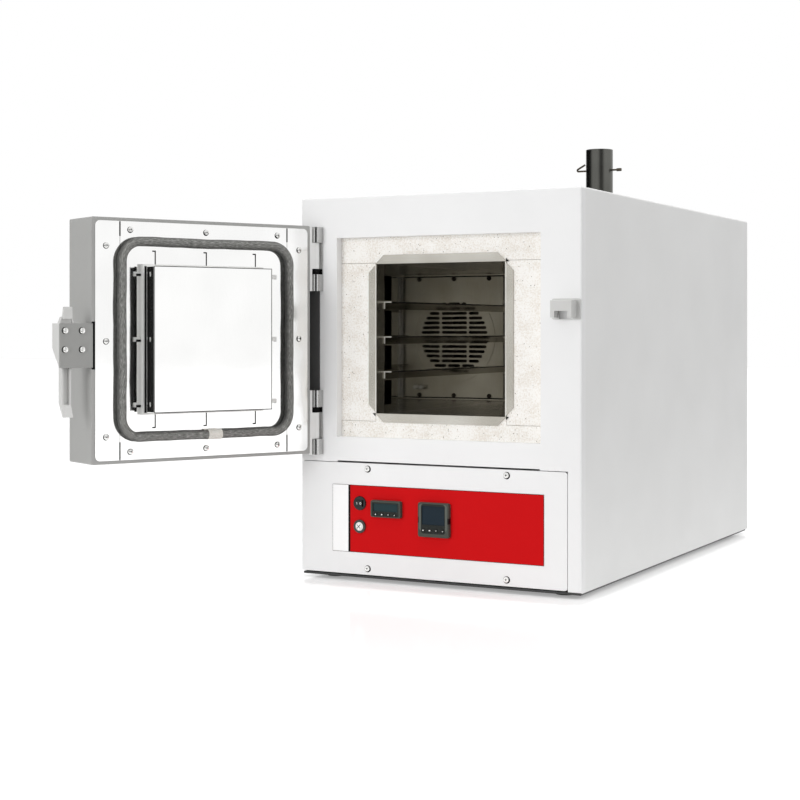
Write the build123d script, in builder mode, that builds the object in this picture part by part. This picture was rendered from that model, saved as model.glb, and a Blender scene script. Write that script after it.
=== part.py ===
"""Air circulating bench oven: insulated cabinet, plug door standing open, latch, fan, controls and flue.

The frame is in millimetres. +X is to the right of someone who faces the oven, +Y goes to the back and +Z up.
The origin is on the bench, at the centre of the cabinet's footprint.
"""
import math
import os

from build123d import *

os.makedirs("parts", exist_ok=True)

# Cabinet
cabinet_width = 434.0
cabinet_depth = 790.0
cabinet_height = 540.0
sheet = 1.5
wrap_edge_radius = 3.0
front_return = 13.0
foot_height = 8.0
foot_radius = 15.0
foot_inset = 38.0
lip_height = 3.0
lip_inset = 2.5
lip_width = 14.0

# Door opening and the refractory behind it, heights above the cabinet's underside
opening_width = 316.0
opening_height = 284.5
opening_rise = 196.5
recess_depth = 14.0
board_thickness = 20.0
board_overlap = 24.0
board_edge = 0.6
board_joint = 0.4
side_board_rise = 219.5

# Chamber
chamber_width = 200.0
chamber_height = 212.6
chamber_depth = 455.0
chamber_rise = 230.6
liner_sheet = 1.5
flange_width = 12.6
side_duct = 20.0
plenum_depth = 70.0
insulation_depth = 60.0

# Air slots and shelf runners
air_slot_width = 21.0
air_slot_height = 35.0
air_slot_setback = 23.0
shelf_tiers = 3
tier_pitch = 50.0
first_tier_rise = 59.4
runner_ledge = 12.0
runner_leg = 11.0
runner_sheet = 1.5
runner_setback = 21.0

# Baffle grille
grille_radius = 63.5
grille_rows = 15
grille_pitch = 8.1
grille_slot_height = 5.0
grille_rib = 3.2
grille_rib_offset = 26.0
grille_short_rib_offset = 13.0
emboss_radius = 75.0
emboss_width = 4.0
emboss_height = 1.0

# Fan
impeller_radius = 70.0
blade_count = 10
blade_height = 28.0
blade_thickness = 1.6
impeller_gap = 8.0
hub_radius = 13.0
shaft_radius = 6.0
running_clearance = 0.05
shaft_hole_radius = 10.0
motor_radius = 50.0
motor_length = 95.0
motor_gap = 34.0
standoff_radius = 5.0
cooling_fan_radius = 40.0

# Heating elements and thermocouples
element_count = 2
element_radius = 4.0
element_ring_radius = 92.0
element_pitch = 14.0
element_opening_angle = 16.0
probe_radius = 2.2
probe_x = 58.0
probe_rise = 251.0
probe_pitch = 9.0
probe_reach = 12.0

# Flue and damper
flue_radius = 23.25
flue_wall = 1.5
flue_setback = 635.0
flue_top_rise = 661.6
exhaust_rise = 417.0
collar_width = 17.0
collar_thickness = 2.0
spigot_length = 30.0
groove_width = 0.8
groove_depth = 0.3
damper_drop = 35.6
spindle_radius = 1.6
damper_thickness = 1.4
damper_clearance = 0.8
handle_reach = 46.5
handle_back = 26.5
handle_lift = 11.0
knob_reach = 40.0
knob_length = 8.0
knob_radius = 2.7

# Control panel, heights above the cabinet's underside
panel_top_rise = 160.0
panel_bottom_rise = 2.0
right_strip = 20.8
panel_gap = 0.9
groove_gap = 2.6
groove_half_width = 156.5
panel_corner = 4.0
panel_return = 10.0
panel_screw_x = 107.7
panel_screw_rises = (11.0, 152.4)
label_left = -164.4
label_right = 163.0
label_bottom_rise = 33.0
label_top_rise = 128.7
label_film = 0.5
switch_x = -119.4
switch_rise = 103.2
switch_radius = 10.0
switch_barrel_radius = 8.6
switch_barrel_length = 18.0
lamp_rise = 70.3
lamp_radius = 9.5
lens_radius = 6.2
lamp_proud = 2.6
lens_proud = 4.4
rocker_height = 8.6
rocker_half_width = 6.0
rocker_tilt = 8.0
rocker_clearance = 0.35
rocker_face = 2.2
switch_proud = 2.2
bezel_height_unit = 24.0
bezel_width = 48.0
bezel_proud = 6.5
bezel_radius = 1.6
bezel_corner = 3.0
case_inset = 1.6
case_depth = 78.0
limit_x = -75.5
limit_rise = 97.2
controller_x = -0.2
controller_rise = 86.0
key_radius = 2.4
key_clearance = 0.3
key_pitch = 10.0
key_proud = 0.8
key_travel = 0.6
key_length = 3.2
limit_key_drop = 7.6
controller_key_drop = 14.5
limit_window_width = 39.0
limit_window_height = 11.0
limit_window_lift = 2.0
controller_window_width = 35.0
controller_window_height = 26.0
controller_window_lift = 6.2
keys_per_instrument = 4
window_recess = 1.2

# Door, drawn on its own plane: u runs from the hinge edge to the free edge, the third axis points outwards
door_open_angle = 116.2
door_thickness = 70.0
door_gap = 2.6
door_lap_hinge = 17.8
door_lap_free = 4.2
door_lap_top = 17.0
door_lap_bottom = 24.0
door_sheet = 1.5
door_lip = 6.0
door_edge_radius = 2.0
frame_plate = 1.2
plate_margin = 4.6
plate_corner = 7.0
plate_seam = 0.6
gasket_radius = 6.4
gasket_seat = 0.4
gasket_corner = 27.0
gasket_inset_hinge = 39.0
gasket_inset_free = 40.0
gasket_inset_top = 31.0
gasket_inset_bottom = 34.5
sleeve_length = 21.0
sleeve_wall = 0.5
sleeve_offset = -8.5
plug_clear_side = 9.8
plug_clear_top = 9.4
plug_clear_bottom = 9.1
plug_depth = 36.0
plug_base_depth = 8.0
plug_core_depth = 7.0
plug_base_flange = 3.0
plug_core_inset = 2.5
plug_sheet = 1.2
slit_width = 1.8
slit_length = 21.0
slit_hook = 3.5
slit_inset = 12.5
tab_inset = 10.0
tab_height = 6.0
tab_offset_free = 12.0
tab_offset_hinge = 28.0
screw_radius = 4.0
screw_head = 1.9
screw_shank_radius = 2.0
door_screw_inset_hinge = 18.5
door_screw_inset_free = 20.5
door_screw_inset_row = 15.5
door_screw_inset_column = 15.5
door_screw_inset_end = 4.0
door_screw_free_drop = 2.4

# Hinges
hinge_setback = 12.7
hinge_axis_front = 8.0
knuckle_radius = 8.0
knuckle_clearance = 0.4
hinge_leaf_sheet = 2.2
long_knuckle = 24.0
hinge_gap = 8.0
door_knuckle = 37.5
short_knuckle = 22.5
hinge_bottom_rise = 170.7
hinge_top_rise = 497.0
door_leaf_sheet = 3.4
door_leaf_depth = 25.0
door_knuckle_radius = 5.4
hinge_pin_radius = 2.5
hinge_strip_width = 19.3
hinge_strip_overlap = 8.5
hinge_strip_sheet = 2.0

# Latch, its heights above the cabinet's underside
latch_reach = 44.2
bracket_bottom_rise = 300.0
bracket_top_rise = 358.0
bracket_sheet = 3.0
bracket_tail = 20.0
bracket_gap = 1.2
lever_inset = 11.0
lever_width = 12.4
lever_side_gap = 0.5
latch_body_depth = 25.5
latch_web = 1.5
latch_taper_rise = 326.0
latch_shoulder_width = 3.3
latch_shoulder_height = 8.5
latch_shoulder_depth = 7.5
lever_pivot_out = 20.0
lever_pivot_rise = 335.2
lever_eye_radius = 3.4
latch_pin_radius = 2.0
lever_top_rise = 340.0
lever_bottom_rise = 236.0
lever_clearance = 1.2
handle_depth = 11.1
handle_flare_rise = 252.0
handle_flare_height = 2.0
handle_tip_gap = 1.4
handle_tip_depth = 5.2
handle_channel_wall = 2.0
handle_channel_depth = 5.5
handle_channel_top_rise = 308.0
handle_hole_radius = 1.6
handle_hole_height = 7.0
bolt_travel = 5.2
bolt_clearance = 0.4
bolt_top_rise = 379.4
bolt_bottom_rise = 346.0
bolt_tip_depth = 1.6
bolt_hook_drop = 10.8
bolt_hook_depth = 4.6
bolt_neck_drop = 15.4
bolt_neck_depth = 8.5
bolt_shank_outer = 14.5
bolt_recess_width = 6.8
bolt_recess_depth = 3.5
bracket_screw_radius = 3.9
bracket_screw_head = 2.0
bracket_screw_columns = (7.4, 31.1)
bracket_screw_rises = (324.0, 348.6)

# Strike on the cabinet
strike_width = 30.7
strike_rise = 365.8
strike_height = 22.8
strike_proud = 21.0
strike_wall = 3.0
strike_front_wall = 12.0
strike_edge = 0.8
strike_notch_top_rise = 374.5
strike_notch_side_gap = 3.2
strike_base_width = 40.5
strike_base_height = 28.0

# Places that follow from the sizes above
half_width = cabinet_width / 2
inner_half_width = half_width - sheet
front_y = -cabinet_depth / 2
back_y = cabinet_depth / 2
base_z = foot_height
top_z = base_z + cabinet_height
face_y = front_y + recess_depth
board_back_y = face_y + board_thickness
baffle_y = face_y + chamber_depth
plenum_back_y = baffle_y + plenum_depth
bulkhead_y = plenum_back_y + liner_sheet + insulation_depth
motor_y = bulkhead_y + sheet + motor_gap
opening_half = opening_width / 2
opening_bottom = base_z + opening_rise
opening_top = opening_bottom + opening_height
chamber_half = chamber_width / 2
chamber_bottom = base_z + chamber_rise
chamber_top = chamber_bottom + chamber_height
fan_z = (chamber_bottom + chamber_top) / 2
liner_half = chamber_half + liner_sheet
duct_half = chamber_half + side_duct
duct_outer_half = duct_half + liner_sheet
liner_bottom = chamber_bottom - liner_sheet
liner_top = chamber_top + liner_sheet
divider_z = base_z + panel_top_rise + groove_gap + sheet
panel_top = base_z + panel_top_rise
panel_bottom = base_z + panel_bottom_rise
panel_right = half_width - right_strip
flue_y = front_y + flue_setback
flue_top_z = base_z + flue_top_rise
damper_z = flue_top_z - damper_drop


def box_between(x, y, z, mode=Mode.ADD):
    """Add or cut the box between the given pairs of X, Y and Z values."""
    with Locations((sum(x) / 2, sum(y) / 2, sum(z) / 2)):
        return Box(abs(x[1] - x[0]), abs(y[1] - y[0]), abs(z[1] - z[0]), mode=mode)


def facing(y, z=0.0, x=0.0):
    """A plane across the oven at y, seen from the front: X to the right, Z up, normal to the user."""
    return Plane(origin=(x, y, z), x_dir=(1, 0, 0), z_dir=(0, -1, 0))


def facing_back(y, z=0.0, x=0.0):
    """The same plane turned round: X to the left of the page, Z up, normal to the back."""
    return Plane(origin=(x, y, z), x_dir=(-1, 0, 0), z_dir=(0, 1, 0))


def rod_along_y(radius, y_start, y_end, x, z, mode=Mode.ADD):
    """Add or cut a round bar from y_start to y_end."""
    with Locations(Location((x, (y_start + y_end) / 2, z), (90, 0, 0))):
        return Cylinder(radius, abs(y_end - y_start), mode=mode)


def save(part, name):
    """Label a finished piece and write it as its own file."""
    part.label = name
    export_step(part, f"parts/{name}.step")


# Outer wrap: both sides and the top in one folded sheet
with BuildPart() as outer_wrap:
    box_between((-half_width, half_width), (front_y + front_return, back_y), (base_z, top_z))
    top_edges = outer_wrap.edges().filter_by(Axis.Y).group_by(Axis.Z)[-1]
    fillet(top_edges, wrap_edge_radius)
    box_between(
        (-inner_half_width, inner_half_width),
        (front_y + front_return - sheet, back_y + sheet),
        (base_z - sheet, top_z - sheet),
        mode=Mode.SUBTRACT,
    )
    with Locations((0, flue_y, top_z)):
        Cylinder(flue_radius + panel_gap, 4 * wrap_edge_radius, mode=Mode.SUBTRACT)
save(outer_wrap.part, "outer_wrap")

# Front panel: a pan with the door opening, its strip running down beside the control panel
with BuildPart() as front_panel:
    box_between((-half_width, half_width), (front_y, front_y + front_return), (base_z, top_z))
    fillet(front_panel.edges().filter_by(Axis.Y).group_by(Axis.Z)[-1], wrap_edge_radius)
    front_rim = front_panel.faces().sort_by(Axis.Y)[0].edges()
    fillet(front_rim, wrap_edge_radius)
    box_between(
        (-inner_half_width, inner_half_width),
        (front_y + sheet, front_y + front_return + sheet),
        (base_z - sheet, top_z - sheet),
        mode=Mode.SUBTRACT,
    )
    box_between(
        (-half_width - sheet, panel_right + panel_gap),
        (front_y - sheet, front_y + front_return + sheet),
        (base_z - sheet, panel_top + panel_gap),
        mode=Mode.SUBTRACT,
    )
    box_between(
        (-groove_half_width, groove_half_width),
        (front_y - sheet, front_y + front_return + sheet),
        (panel_top, panel_top + groove_gap),
        mode=Mode.SUBTRACT,
    )
    box_between(
        (-opening_half - sheet, opening_half + sheet),
        (front_y + sheet, face_y),
        (opening_bottom - sheet, opening_top + sheet),
    )
    box_between(
        (-opening_half, opening_half),
        (front_y - sheet, face_y + sheet),
        (opening_bottom, opening_top),
        mode=Mode.SUBTRACT,
    )
save(front_panel.part, "front_panel")

# Rear plane and the base tray with upturned sides, its dark lip running round below the cabinet's edge
rear_setback = 2.0
rear_y = back_y - rear_setback
tray_back_y = rear_y - sheet
with BuildPart() as base_tray:
    box_between((-inner_half_width, inner_half_width), (front_y + front_return, tray_back_y), (base_z, base_z + front_return))
    box_between(
        (-inner_half_width + sheet, inner_half_width - sheet),
        (front_y + front_return - sheet, tray_back_y + sheet),
        (base_z + sheet, base_z + 2 * front_return),
        mode=Mode.SUBTRACT,
    )
    lip_half = half_width - lip_inset
    lip_front = front_y + lip_inset
    lip_back = back_y - lip_inset
    box_between((-lip_half, lip_half), (lip_front, lip_back), (base_z - lip_height, base_z))
    box_between(
        (-lip_half + lip_width, lip_half - lip_width),
        (lip_front + lip_width, lip_back - lip_width),
        (base_z - 2 * lip_height, base_z),
        mode=Mode.SUBTRACT,
    )
save(base_tray.part, "base_tray")

# Feet, each held by a screw in a recess
foot_recess = foot_height / 2
foot_x = half_width - foot_inset
foot_y = back_y - foot_inset
with BuildPart() as feet:
    with GridLocations(2 * foot_x, 2 * foot_y, 2, 2):
        Cylinder(foot_radius, foot_height, align=(Align.CENTER, Align.CENTER, Align.MIN))
    chamfer(feet.faces().group_by(Axis.Z)[0].edges(), foot_height / 8)
    with GridLocations(2 * foot_x, 2 * foot_y, 2, 2):
        Cylinder(foot_radius / 2, foot_recess, align=(Align.CENTER, Align.CENTER, Align.MIN), mode=Mode.SUBTRACT)
        Cylinder(screw_shank_radius, 2 * foot_height, mode=Mode.SUBTRACT)
save(feet.part, "feet")

# Divider between the hot part and the controls
with BuildPart() as divider_plate:
    box_between(
        (-inner_half_width, inner_half_width),
        (front_y + front_return, bulkhead_y),
        (divider_z, divider_z + sheet),
    )
save(divider_plate.part, "divider_plate")

# Exhaust path, needed for the holes in what it passes through
exhaust_z = base_z + exhaust_rise
element_end_y = bulkhead_y + sheet + 2 * element_radius
probe_z = base_z + probe_rise
probe_xs = [probe_x + index * probe_pitch for index in range(2)]
element_ys = [baffle_y + impeller_gap + liner_sheet + (index + 0.5) * element_pitch for index in range(element_count)]
element_openings = [element_opening_angle * (index + 1) for index in range(element_count)]
lead_spots = [
    (
        element_ring_radius * math.sin(math.radians(opening / 2)),
        fan_z - element_ring_radius * math.cos(math.radians(opening / 2)),
    )
    for opening in element_openings
]


def cut_back_wall_holes(y_start, y_end):
    """Cut the holes for the shaft, exhaust, probes and element leads through a wall behind the plenum."""
    rod_along_y(shaft_hole_radius, y_start, y_end, 0, fan_z, mode=Mode.SUBTRACT)
    rod_along_y(flue_radius - flue_wall, y_start, y_end, 0, exhaust_z, mode=Mode.SUBTRACT)
    for x in probe_xs:
        rod_along_y(probe_radius, y_start, y_end, x, probe_z, mode=Mode.SUBTRACT)
    for lead_x, lead_z in lead_spots:
        for x in (-lead_x, lead_x):
            rod_along_y(element_radius, y_start, y_end, x, lead_z, mode=Mode.SUBTRACT)


# Rear panel, set inside the wrap, with two fields of cooling slots and the hole for the cable gland
gland_x = -half_width * 0.68
gland_z = base_z + panel_top_rise / 2
gland_thread_radius = 8.0
vent_length = 34.0
vent_height = 4.0
vent_rows = 9
vent_columns = 3
vent_pitch_x = 46.0
vent_pitch_z = 12.0
with BuildPart() as rear_panel:
    with BuildSketch(facing(rear_y)):
        with Locations((0, (base_z + top_z - sheet) / 2)):
            Rectangle(2 * inner_half_width, cabinet_height - sheet)
        with Locations((0, fan_z), (0, gland_z)):
            with GridLocations(vent_pitch_x, vent_pitch_z, vent_columns, vent_rows):
                SlotOverall(vent_length, vent_height, mode=Mode.SUBTRACT)
        with Locations((gland_x, gland_z)):
            Circle(gland_thread_radius, mode=Mode.SUBTRACT)
    extrude(amount=sheet)
save(rear_panel.part, "rear_panel")

# Screws of the cabinet: one up through each foot, six in the rear panel, four in the control panel
rear_screw_x = inner_half_width - 4 * screw_radius
rear_screw_drop = (cabinet_height - 8 * screw_radius) / 2
panel_screw_places = [(x, base_z + rise) for x in (-panel_screw_x, panel_screw_x) for rise in panel_screw_rises]
with BuildPart() as cabinet_screws:
    with Locations((0, 0, foot_recess)):
        with GridLocations(2 * foot_x, 2 * foot_y, 2, 2):
            Cylinder(screw_radius, screw_head, align=(Align.CENTER, Align.CENTER, Align.MAX))
            Cylinder(screw_shank_radius, foot_height - foot_recess, align=(Align.CENTER, Align.CENTER, Align.MIN))
    with Locations(Location((0, rear_y, base_z + cabinet_height / 2), (-90, 0, 0))):
        with GridLocations(2 * rear_screw_x, rear_screw_drop, 2, 3):
            Cylinder(screw_radius, screw_head, align=(Align.CENTER, Align.CENTER, Align.MIN))
    fillet(cabinet_screws.faces().sort_by(Axis.Y)[-6:].edges(), screw_head / 3)
    for x, z in panel_screw_places:
        rod_along_y(screw_radius, front_y - screw_head, front_y, x, z)
    fillet(cabinet_screws.faces().sort_by(Axis.Y)[:4].edges(), screw_head / 2)
save(cabinet_screws.part, "cabinet_screws")

# Cable gland in the rear panel: hexagon body, dome nut and lock nut round an open bore
gland_bore_radius = 5.0
gland_nut_radius = 12.0
gland_nut_length = 8.0
gland_dome_length = 12.0
with BuildPart(facing_back(rear_y, gland_z, gland_x)) as cable_gland:
    with BuildSketch(facing_back(rear_y, gland_z, gland_x)):
        RegularPolygon(gland_nut_radius, 6)
    extrude(amount=gland_nut_length)
    with Locations((0, 0, gland_nut_length)):
        Cylinder(gland_nut_radius - 2 * sheet, gland_dome_length, align=(Align.CENTER, Align.CENTER, Align.MIN))
    fillet(cable_gland.faces().sort_by(Axis.Y)[-1].edges(), sheet)
    Cylinder(gland_thread_radius, sheet + gland_nut_length, align=(Align.CENTER, Align.CENTER, Align.MAX))
    with Locations((0, 0, -sheet)):
        Cylinder(gland_nut_radius, gland_nut_length / 2, align=(Align.CENTER, Align.CENTER, Align.MAX))
    Cylinder(gland_bore_radius, 4 * gland_dome_length, mode=Mode.SUBTRACT)
save(cable_gland.part, "cable_gland")

# Refractory boards round the chamber mouth, a fine joint between them, the bottom one with a tongue to the liner
board_half = opening_half + board_overlap
board_bottom = opening_bottom - board_overlap + sheet
board_top = opening_top + board_overlap
side_board_bottom = base_z + side_board_rise
board_y = (face_y, board_back_y)
with BuildPart() as refractory_boards:
    box_between((-board_half, board_half), board_y, (liner_top, board_top))
    box_between((-board_half, board_half), board_y, (board_bottom, side_board_bottom - board_joint))
    box_between((-liner_half, liner_half), board_y, (board_bottom, liner_bottom))
    for side in (-1, 1):
        side_board_x = (side * (liner_half + board_joint), side * board_half)
        box_between(side_board_x, board_y, (side_board_bottom, liner_top - board_joint))
    chamfer(refractory_boards.faces().group_by(Axis.Y)[0].edges(), board_edge)
save(refractory_boards.part, "refractory_boards")

# Chamber liner: mouth collar with its turned-out flange, and the duct box behind the boards
with BuildPart() as chamber_liner:
    box_between((-duct_outer_half, duct_outer_half), (board_back_y, plenum_back_y + liner_sheet), (liner_bottom, liner_top))
    box_between(
        (-duct_half, duct_half),
        (board_back_y + liner_sheet, plenum_back_y),
        (chamber_bottom, chamber_top),
        mode=Mode.SUBTRACT,
    )
    box_between((-liner_half, liner_half), (face_y - liner_sheet, board_back_y), (liner_bottom, liner_top))
    half_height = chamber_height / 2
    flange_reach = half_height + flange_width
    flange_half = chamber_half + flange_width
    with BuildSketch(facing(face_y - liner_sheet, fan_z)):
        for way in (-1, 1):
            with BuildLine():
                Polyline(
                    (-liner_half, way * half_height),
                    (liner_half, way * half_height),
                    (liner_half - flange_width, way * flange_reach),
                    (flange_width - liner_half, way * flange_reach),
                    close=True,
                )
            make_face()
            with BuildLine():
                Polyline(
                    (way * chamber_half, -half_height),
                    (way * chamber_half, half_height),
                    (way * flange_half, half_height - flange_width),
                    (way * flange_half, flange_width - half_height),
                    close=True,
                )
            make_face()
    extrude(amount=-liner_sheet)
    box_between(
        (-chamber_half, chamber_half),
        (face_y - 2 * liner_sheet, board_back_y + 2 * liner_sheet),
        (chamber_bottom, chamber_top),
        mode=Mode.SUBTRACT,
    )
    cut_back_wall_holes(plenum_back_y - liner_sheet, plenum_back_y + 2 * liner_sheet)
save(chamber_liner.part, "chamber_liner")

# Air guides: the chamber's side walls, each with a column of slots behind the mouth, and the shelf runners
guide_front_y = board_back_y + liner_sheet
slot_y = face_y + air_slot_setback + air_slot_width / 2
tier_zs = [chamber_bottom + first_tier_rise + index * tier_pitch for index in range(shelf_tiers)]
slot_zs = [z - tier_pitch / 2 - runner_leg / 2 for z in tier_zs] + [tier_zs[-1] + tier_pitch / 2 - runner_leg / 2]
with BuildPart() as air_guides:
    for side in (-1, 1):
        box_between((side * chamber_half, side * liner_half), (guide_front_y, baffle_y), (chamber_bottom, chamber_top))
    for z in slot_zs:
        box_between(
            (-liner_half - liner_sheet, liner_half + liner_sheet),
            (slot_y - air_slot_width / 2, slot_y + air_slot_width / 2),
            (z - air_slot_height / 2, z + air_slot_height / 2),
            mode=Mode.SUBTRACT,
        )
save(air_guides.part, "air_guides")

with BuildPart() as shelf_runners:
    for side in (-1, 1):
        for z in tier_zs:
            with BuildSketch(facing(face_y + runner_setback)):
                with BuildLine():
                    Polyline(
                        (side * chamber_half, z),
                        (side * (chamber_half - runner_ledge), z),
                        (side * (chamber_half - runner_ledge), z - runner_sheet),
                        (side * (chamber_half - runner_sheet), z - runner_sheet),
                        (side * (chamber_half - runner_sheet), z - runner_leg),
                        (side * chamber_half, z - runner_leg),
                        close=True,
                    )
                make_face()
            extrude(amount=runner_setback - chamber_depth)
save(shelf_runners.part, "shelf_runners")

# Rear baffle: rows of slots in a circle, split by upright ribs, inside an embossed ring
with BuildPart() as rear_baffle:
    box_between((-liner_half, liner_half), (baffle_y, baffle_y + liner_sheet), (chamber_bottom, chamber_top))
    with BuildSketch(facing(baffle_y)):
        with Locations((0, fan_z)):
            Circle(emboss_radius + emboss_width / 2)
            Circle(emboss_radius - emboss_width / 2, mode=Mode.SUBTRACT)
    extrude(amount=emboss_height)
    with BuildSketch(facing(baffle_y - liner_sheet)):
        for row in range(grille_rows):
            row_z = (row - (grille_rows - 1) / 2) * grille_pitch
            reach = math.sqrt(grille_radius**2 - (abs(row_z) + grille_slot_height / 2) ** 2)
            rib = grille_rib_offset if reach > 1.5 * grille_rib_offset else grille_short_rib_offset
            ends = [-reach, -rib - grille_rib / 2, -rib + grille_rib / 2, rib - grille_rib / 2, rib + grille_rib / 2, reach]
            for start, end in zip(ends[0::2], ends[1::2]):
                if end - start > 1.5 * grille_slot_height:
                    with Locations(((start + end) / 2, fan_z + row_z)):
                        SlotOverall(end - start, grille_slot_height)
    extrude(amount=-3 * liner_sheet, mode=Mode.SUBTRACT)
    for x in probe_xs:
        rod_along_y(probe_radius, baffle_y - liner_sheet, baffle_y + 2 * liner_sheet, x, probe_z, mode=Mode.SUBTRACT)
save(rear_baffle.part, "rear_baffle")

baffle_screw_pitch = 66.0
baffle_screw_drop = chamber_height - 2 * screw_radius - 4 * liner_sheet
with BuildPart(facing(baffle_y, fan_z)) as baffle_screws:
    with GridLocations(baffle_screw_pitch, baffle_screw_drop, 3, 2):
        Cylinder(screw_radius, screw_head, align=(Align.CENTER, Align.CENTER, Align.MIN))
    fillet(baffle_screws.faces().group_by(Axis.Y)[0].edges(), screw_head / 2)
save(baffle_screws.part, "baffle_screws")

# Heating elements: open rings round the impeller, with leads to the back
with BuildPart() as heating_elements:
    for ring_y, opening, (lead_x, lead_z) in zip(element_ys, element_openings, lead_spots):
        with BuildLine(facing(ring_y, fan_z)) as ring_line:
            CenterArc((0, 0), element_ring_radius, opening / 2 - 90, 360 - opening)
        with BuildSketch(Plane(origin=ring_line.line @ 0, z_dir=ring_line.line % 0)):
            Circle(element_radius)
        sweep(path=ring_line.line)
        for side in (-1, 1):
            with Locations((side * lead_x, ring_y, lead_z)):
                Sphere(1.1 * element_radius)
            rod_along_y(element_radius, ring_y, element_end_y, side * lead_x, lead_z)
save(heating_elements.part, "heating_elements")

# Thermocouples through the back of the oven
probe_head_length = 10.0
with BuildPart() as thermocouples:
    for x in probe_xs:
        rod_along_y(probe_radius, baffle_y - probe_reach, bulkhead_y + sheet + probe_head_length, x, probe_z)
        rod_along_y(probe_pitch / 2 - probe_radius / 4, bulkhead_y + sheet, bulkhead_y + sheet + probe_head_length, x, probe_z)
save(thermocouples.part, "thermocouples")

# Insulation round the liner and behind it, and the bulkhead that closes the hot part
hot_back_y = plenum_back_y + liner_sheet
with BuildPart() as chamber_insulation:
    box_between(
        (-inner_half_width, inner_half_width),
        (board_back_y, bulkhead_y),
        (divider_z + sheet, top_z - sheet),
    )
    box_between(
        (-duct_outer_half, duct_outer_half),
        (board_back_y - sheet, hot_back_y),
        (liner_bottom, liner_top),
        mode=Mode.SUBTRACT,
    )
    cut_back_wall_holes(hot_back_y - sheet, bulkhead_y + sheet)
    rod_along_y(flue_radius, hot_back_y, bulkhead_y + sheet, 0, exhaust_z, mode=Mode.SUBTRACT)
save(chamber_insulation.part, "chamber_insulation")

with BuildPart() as bulkhead:
    box_between((-inner_half_width, inner_half_width), (bulkhead_y, bulkhead_y + sheet), (divider_z, top_z - sheet))
    cut_back_wall_holes(bulkhead_y - sheet, bulkhead_y + 2 * sheet)
    rod_along_y(flue_radius, bulkhead_y - sheet, bulkhead_y + 2 * sheet, 0, exhaust_z, mode=Mode.SUBTRACT)
save(bulkhead.part, "bulkhead")

# Fan: impeller in the plenum, shaft through the insulation, cooling fan and motor behind it
impeller_front_y = element_ys[0] - element_pitch / 2 + impeller_gap
impeller_back_y = impeller_front_y + blade_height
hub_length = shaft_radius + blade_height / 2
with BuildPart() as impeller:
    rod_along_y(impeller_radius, impeller_back_y, impeller_back_y + liner_sheet, 0, fan_z)
    rod_along_y(hub_radius, impeller_back_y - hub_length, impeller_back_y + shaft_radius, 0, fan_z)
    with BuildSketch(facing(impeller_front_y, fan_z)):
        blade_middle = (hub_radius + impeller_radius) / 2
        blade_length = impeller_radius - hub_radius - 2 * shaft_radius
        with PolarLocations(blade_middle + shaft_radius / 2, blade_count):
            Rectangle(blade_length, blade_thickness, rotation=blade_count)
    extrude(amount=-blade_height)
    rod_along_y(shaft_radius, impeller_front_y, impeller_back_y + hub_length, 0, fan_z, mode=Mode.SUBTRACT)
save(impeller.part, "impeller")

shaft_front_y = impeller_back_y - hub_length
shaft_end_y = motor_y + motor_length / 2
with BuildPart() as fan_shaft:
    rod_along_y(shaft_radius, shaft_front_y, shaft_end_y, 0, fan_z)
    chamfer(fan_shaft.edges().filter_by(GeomType.CIRCLE), shaft_radius / 8)
save(fan_shaft.part, "fan_shaft")

bearing_length = 12.0
bearing_wall = 9.0
bearing_radius = shaft_radius + bearing_wall
with BuildPart() as shaft_bearing:
    rod_along_y(bearing_radius, bulkhead_y + sheet, bulkhead_y + sheet + bearing_length, 0, fan_z)
    rod_along_y(
        shaft_radius + running_clearance,
        bulkhead_y,
        bulkhead_y + 2 * bearing_length,
        0,
        fan_z,
        mode=Mode.SUBTRACT,
    )
save(shaft_bearing.part, "shaft_bearing")

cooling_front_y = bulkhead_y + sheet + bearing_length + 3 * sheet
cooling_back_y = motor_y - 3 * sheet
with BuildPart() as cooling_fan:
    rod_along_y(hub_radius, cooling_front_y, cooling_back_y, 0, fan_z)
    rod_along_y(cooling_fan_radius, cooling_back_y - sheet, cooling_back_y, 0, fan_z)
    with BuildSketch(facing(cooling_front_y, fan_z)):
        with PolarLocations((hub_radius + cooling_fan_radius) / 2 - blade_thickness, blade_count - 2):
            Rectangle(cooling_fan_radius - hub_radius, blade_thickness)
    extrude(amount=cooling_front_y - cooling_back_y)
    rod_along_y(shaft_radius, cooling_front_y - sheet, cooling_back_y + sheet, 0, fan_z, mode=Mode.SUBTRACT)
save(cooling_fan.part, "cooling_fan")

motor_flange = 4.0
standoff_pitch = 2 * (motor_radius - 1.5 * standoff_radius)
with BuildPart() as motor:
    rod_along_y(motor_radius, motor_y, motor_y + motor_length, 0, fan_z)
    fillet(motor.edges().filter_by(GeomType.CIRCLE).group_by(Axis.Y)[-1], motor_radius / 8)
    with BuildSketch(facing(motor_y, fan_z)):
        RectangleRounded(2 * motor_radius, 2 * motor_radius, 2 * standoff_radius)
    extrude(amount=-motor_flange)
    with BuildSketch(facing(motor_y, fan_z)):
        with GridLocations(standoff_pitch, standoff_pitch, 2, 2):
            Circle(standoff_radius)
    extrude(amount=motor_gap)
    rod_along_y(
        shaft_radius + running_clearance,
        motor_y - sheet,
        shaft_end_y + motor_flange,
        0,
        fan_z,
        mode=Mode.SUBTRACT,
    )
save(motor.part, "motor")

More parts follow.
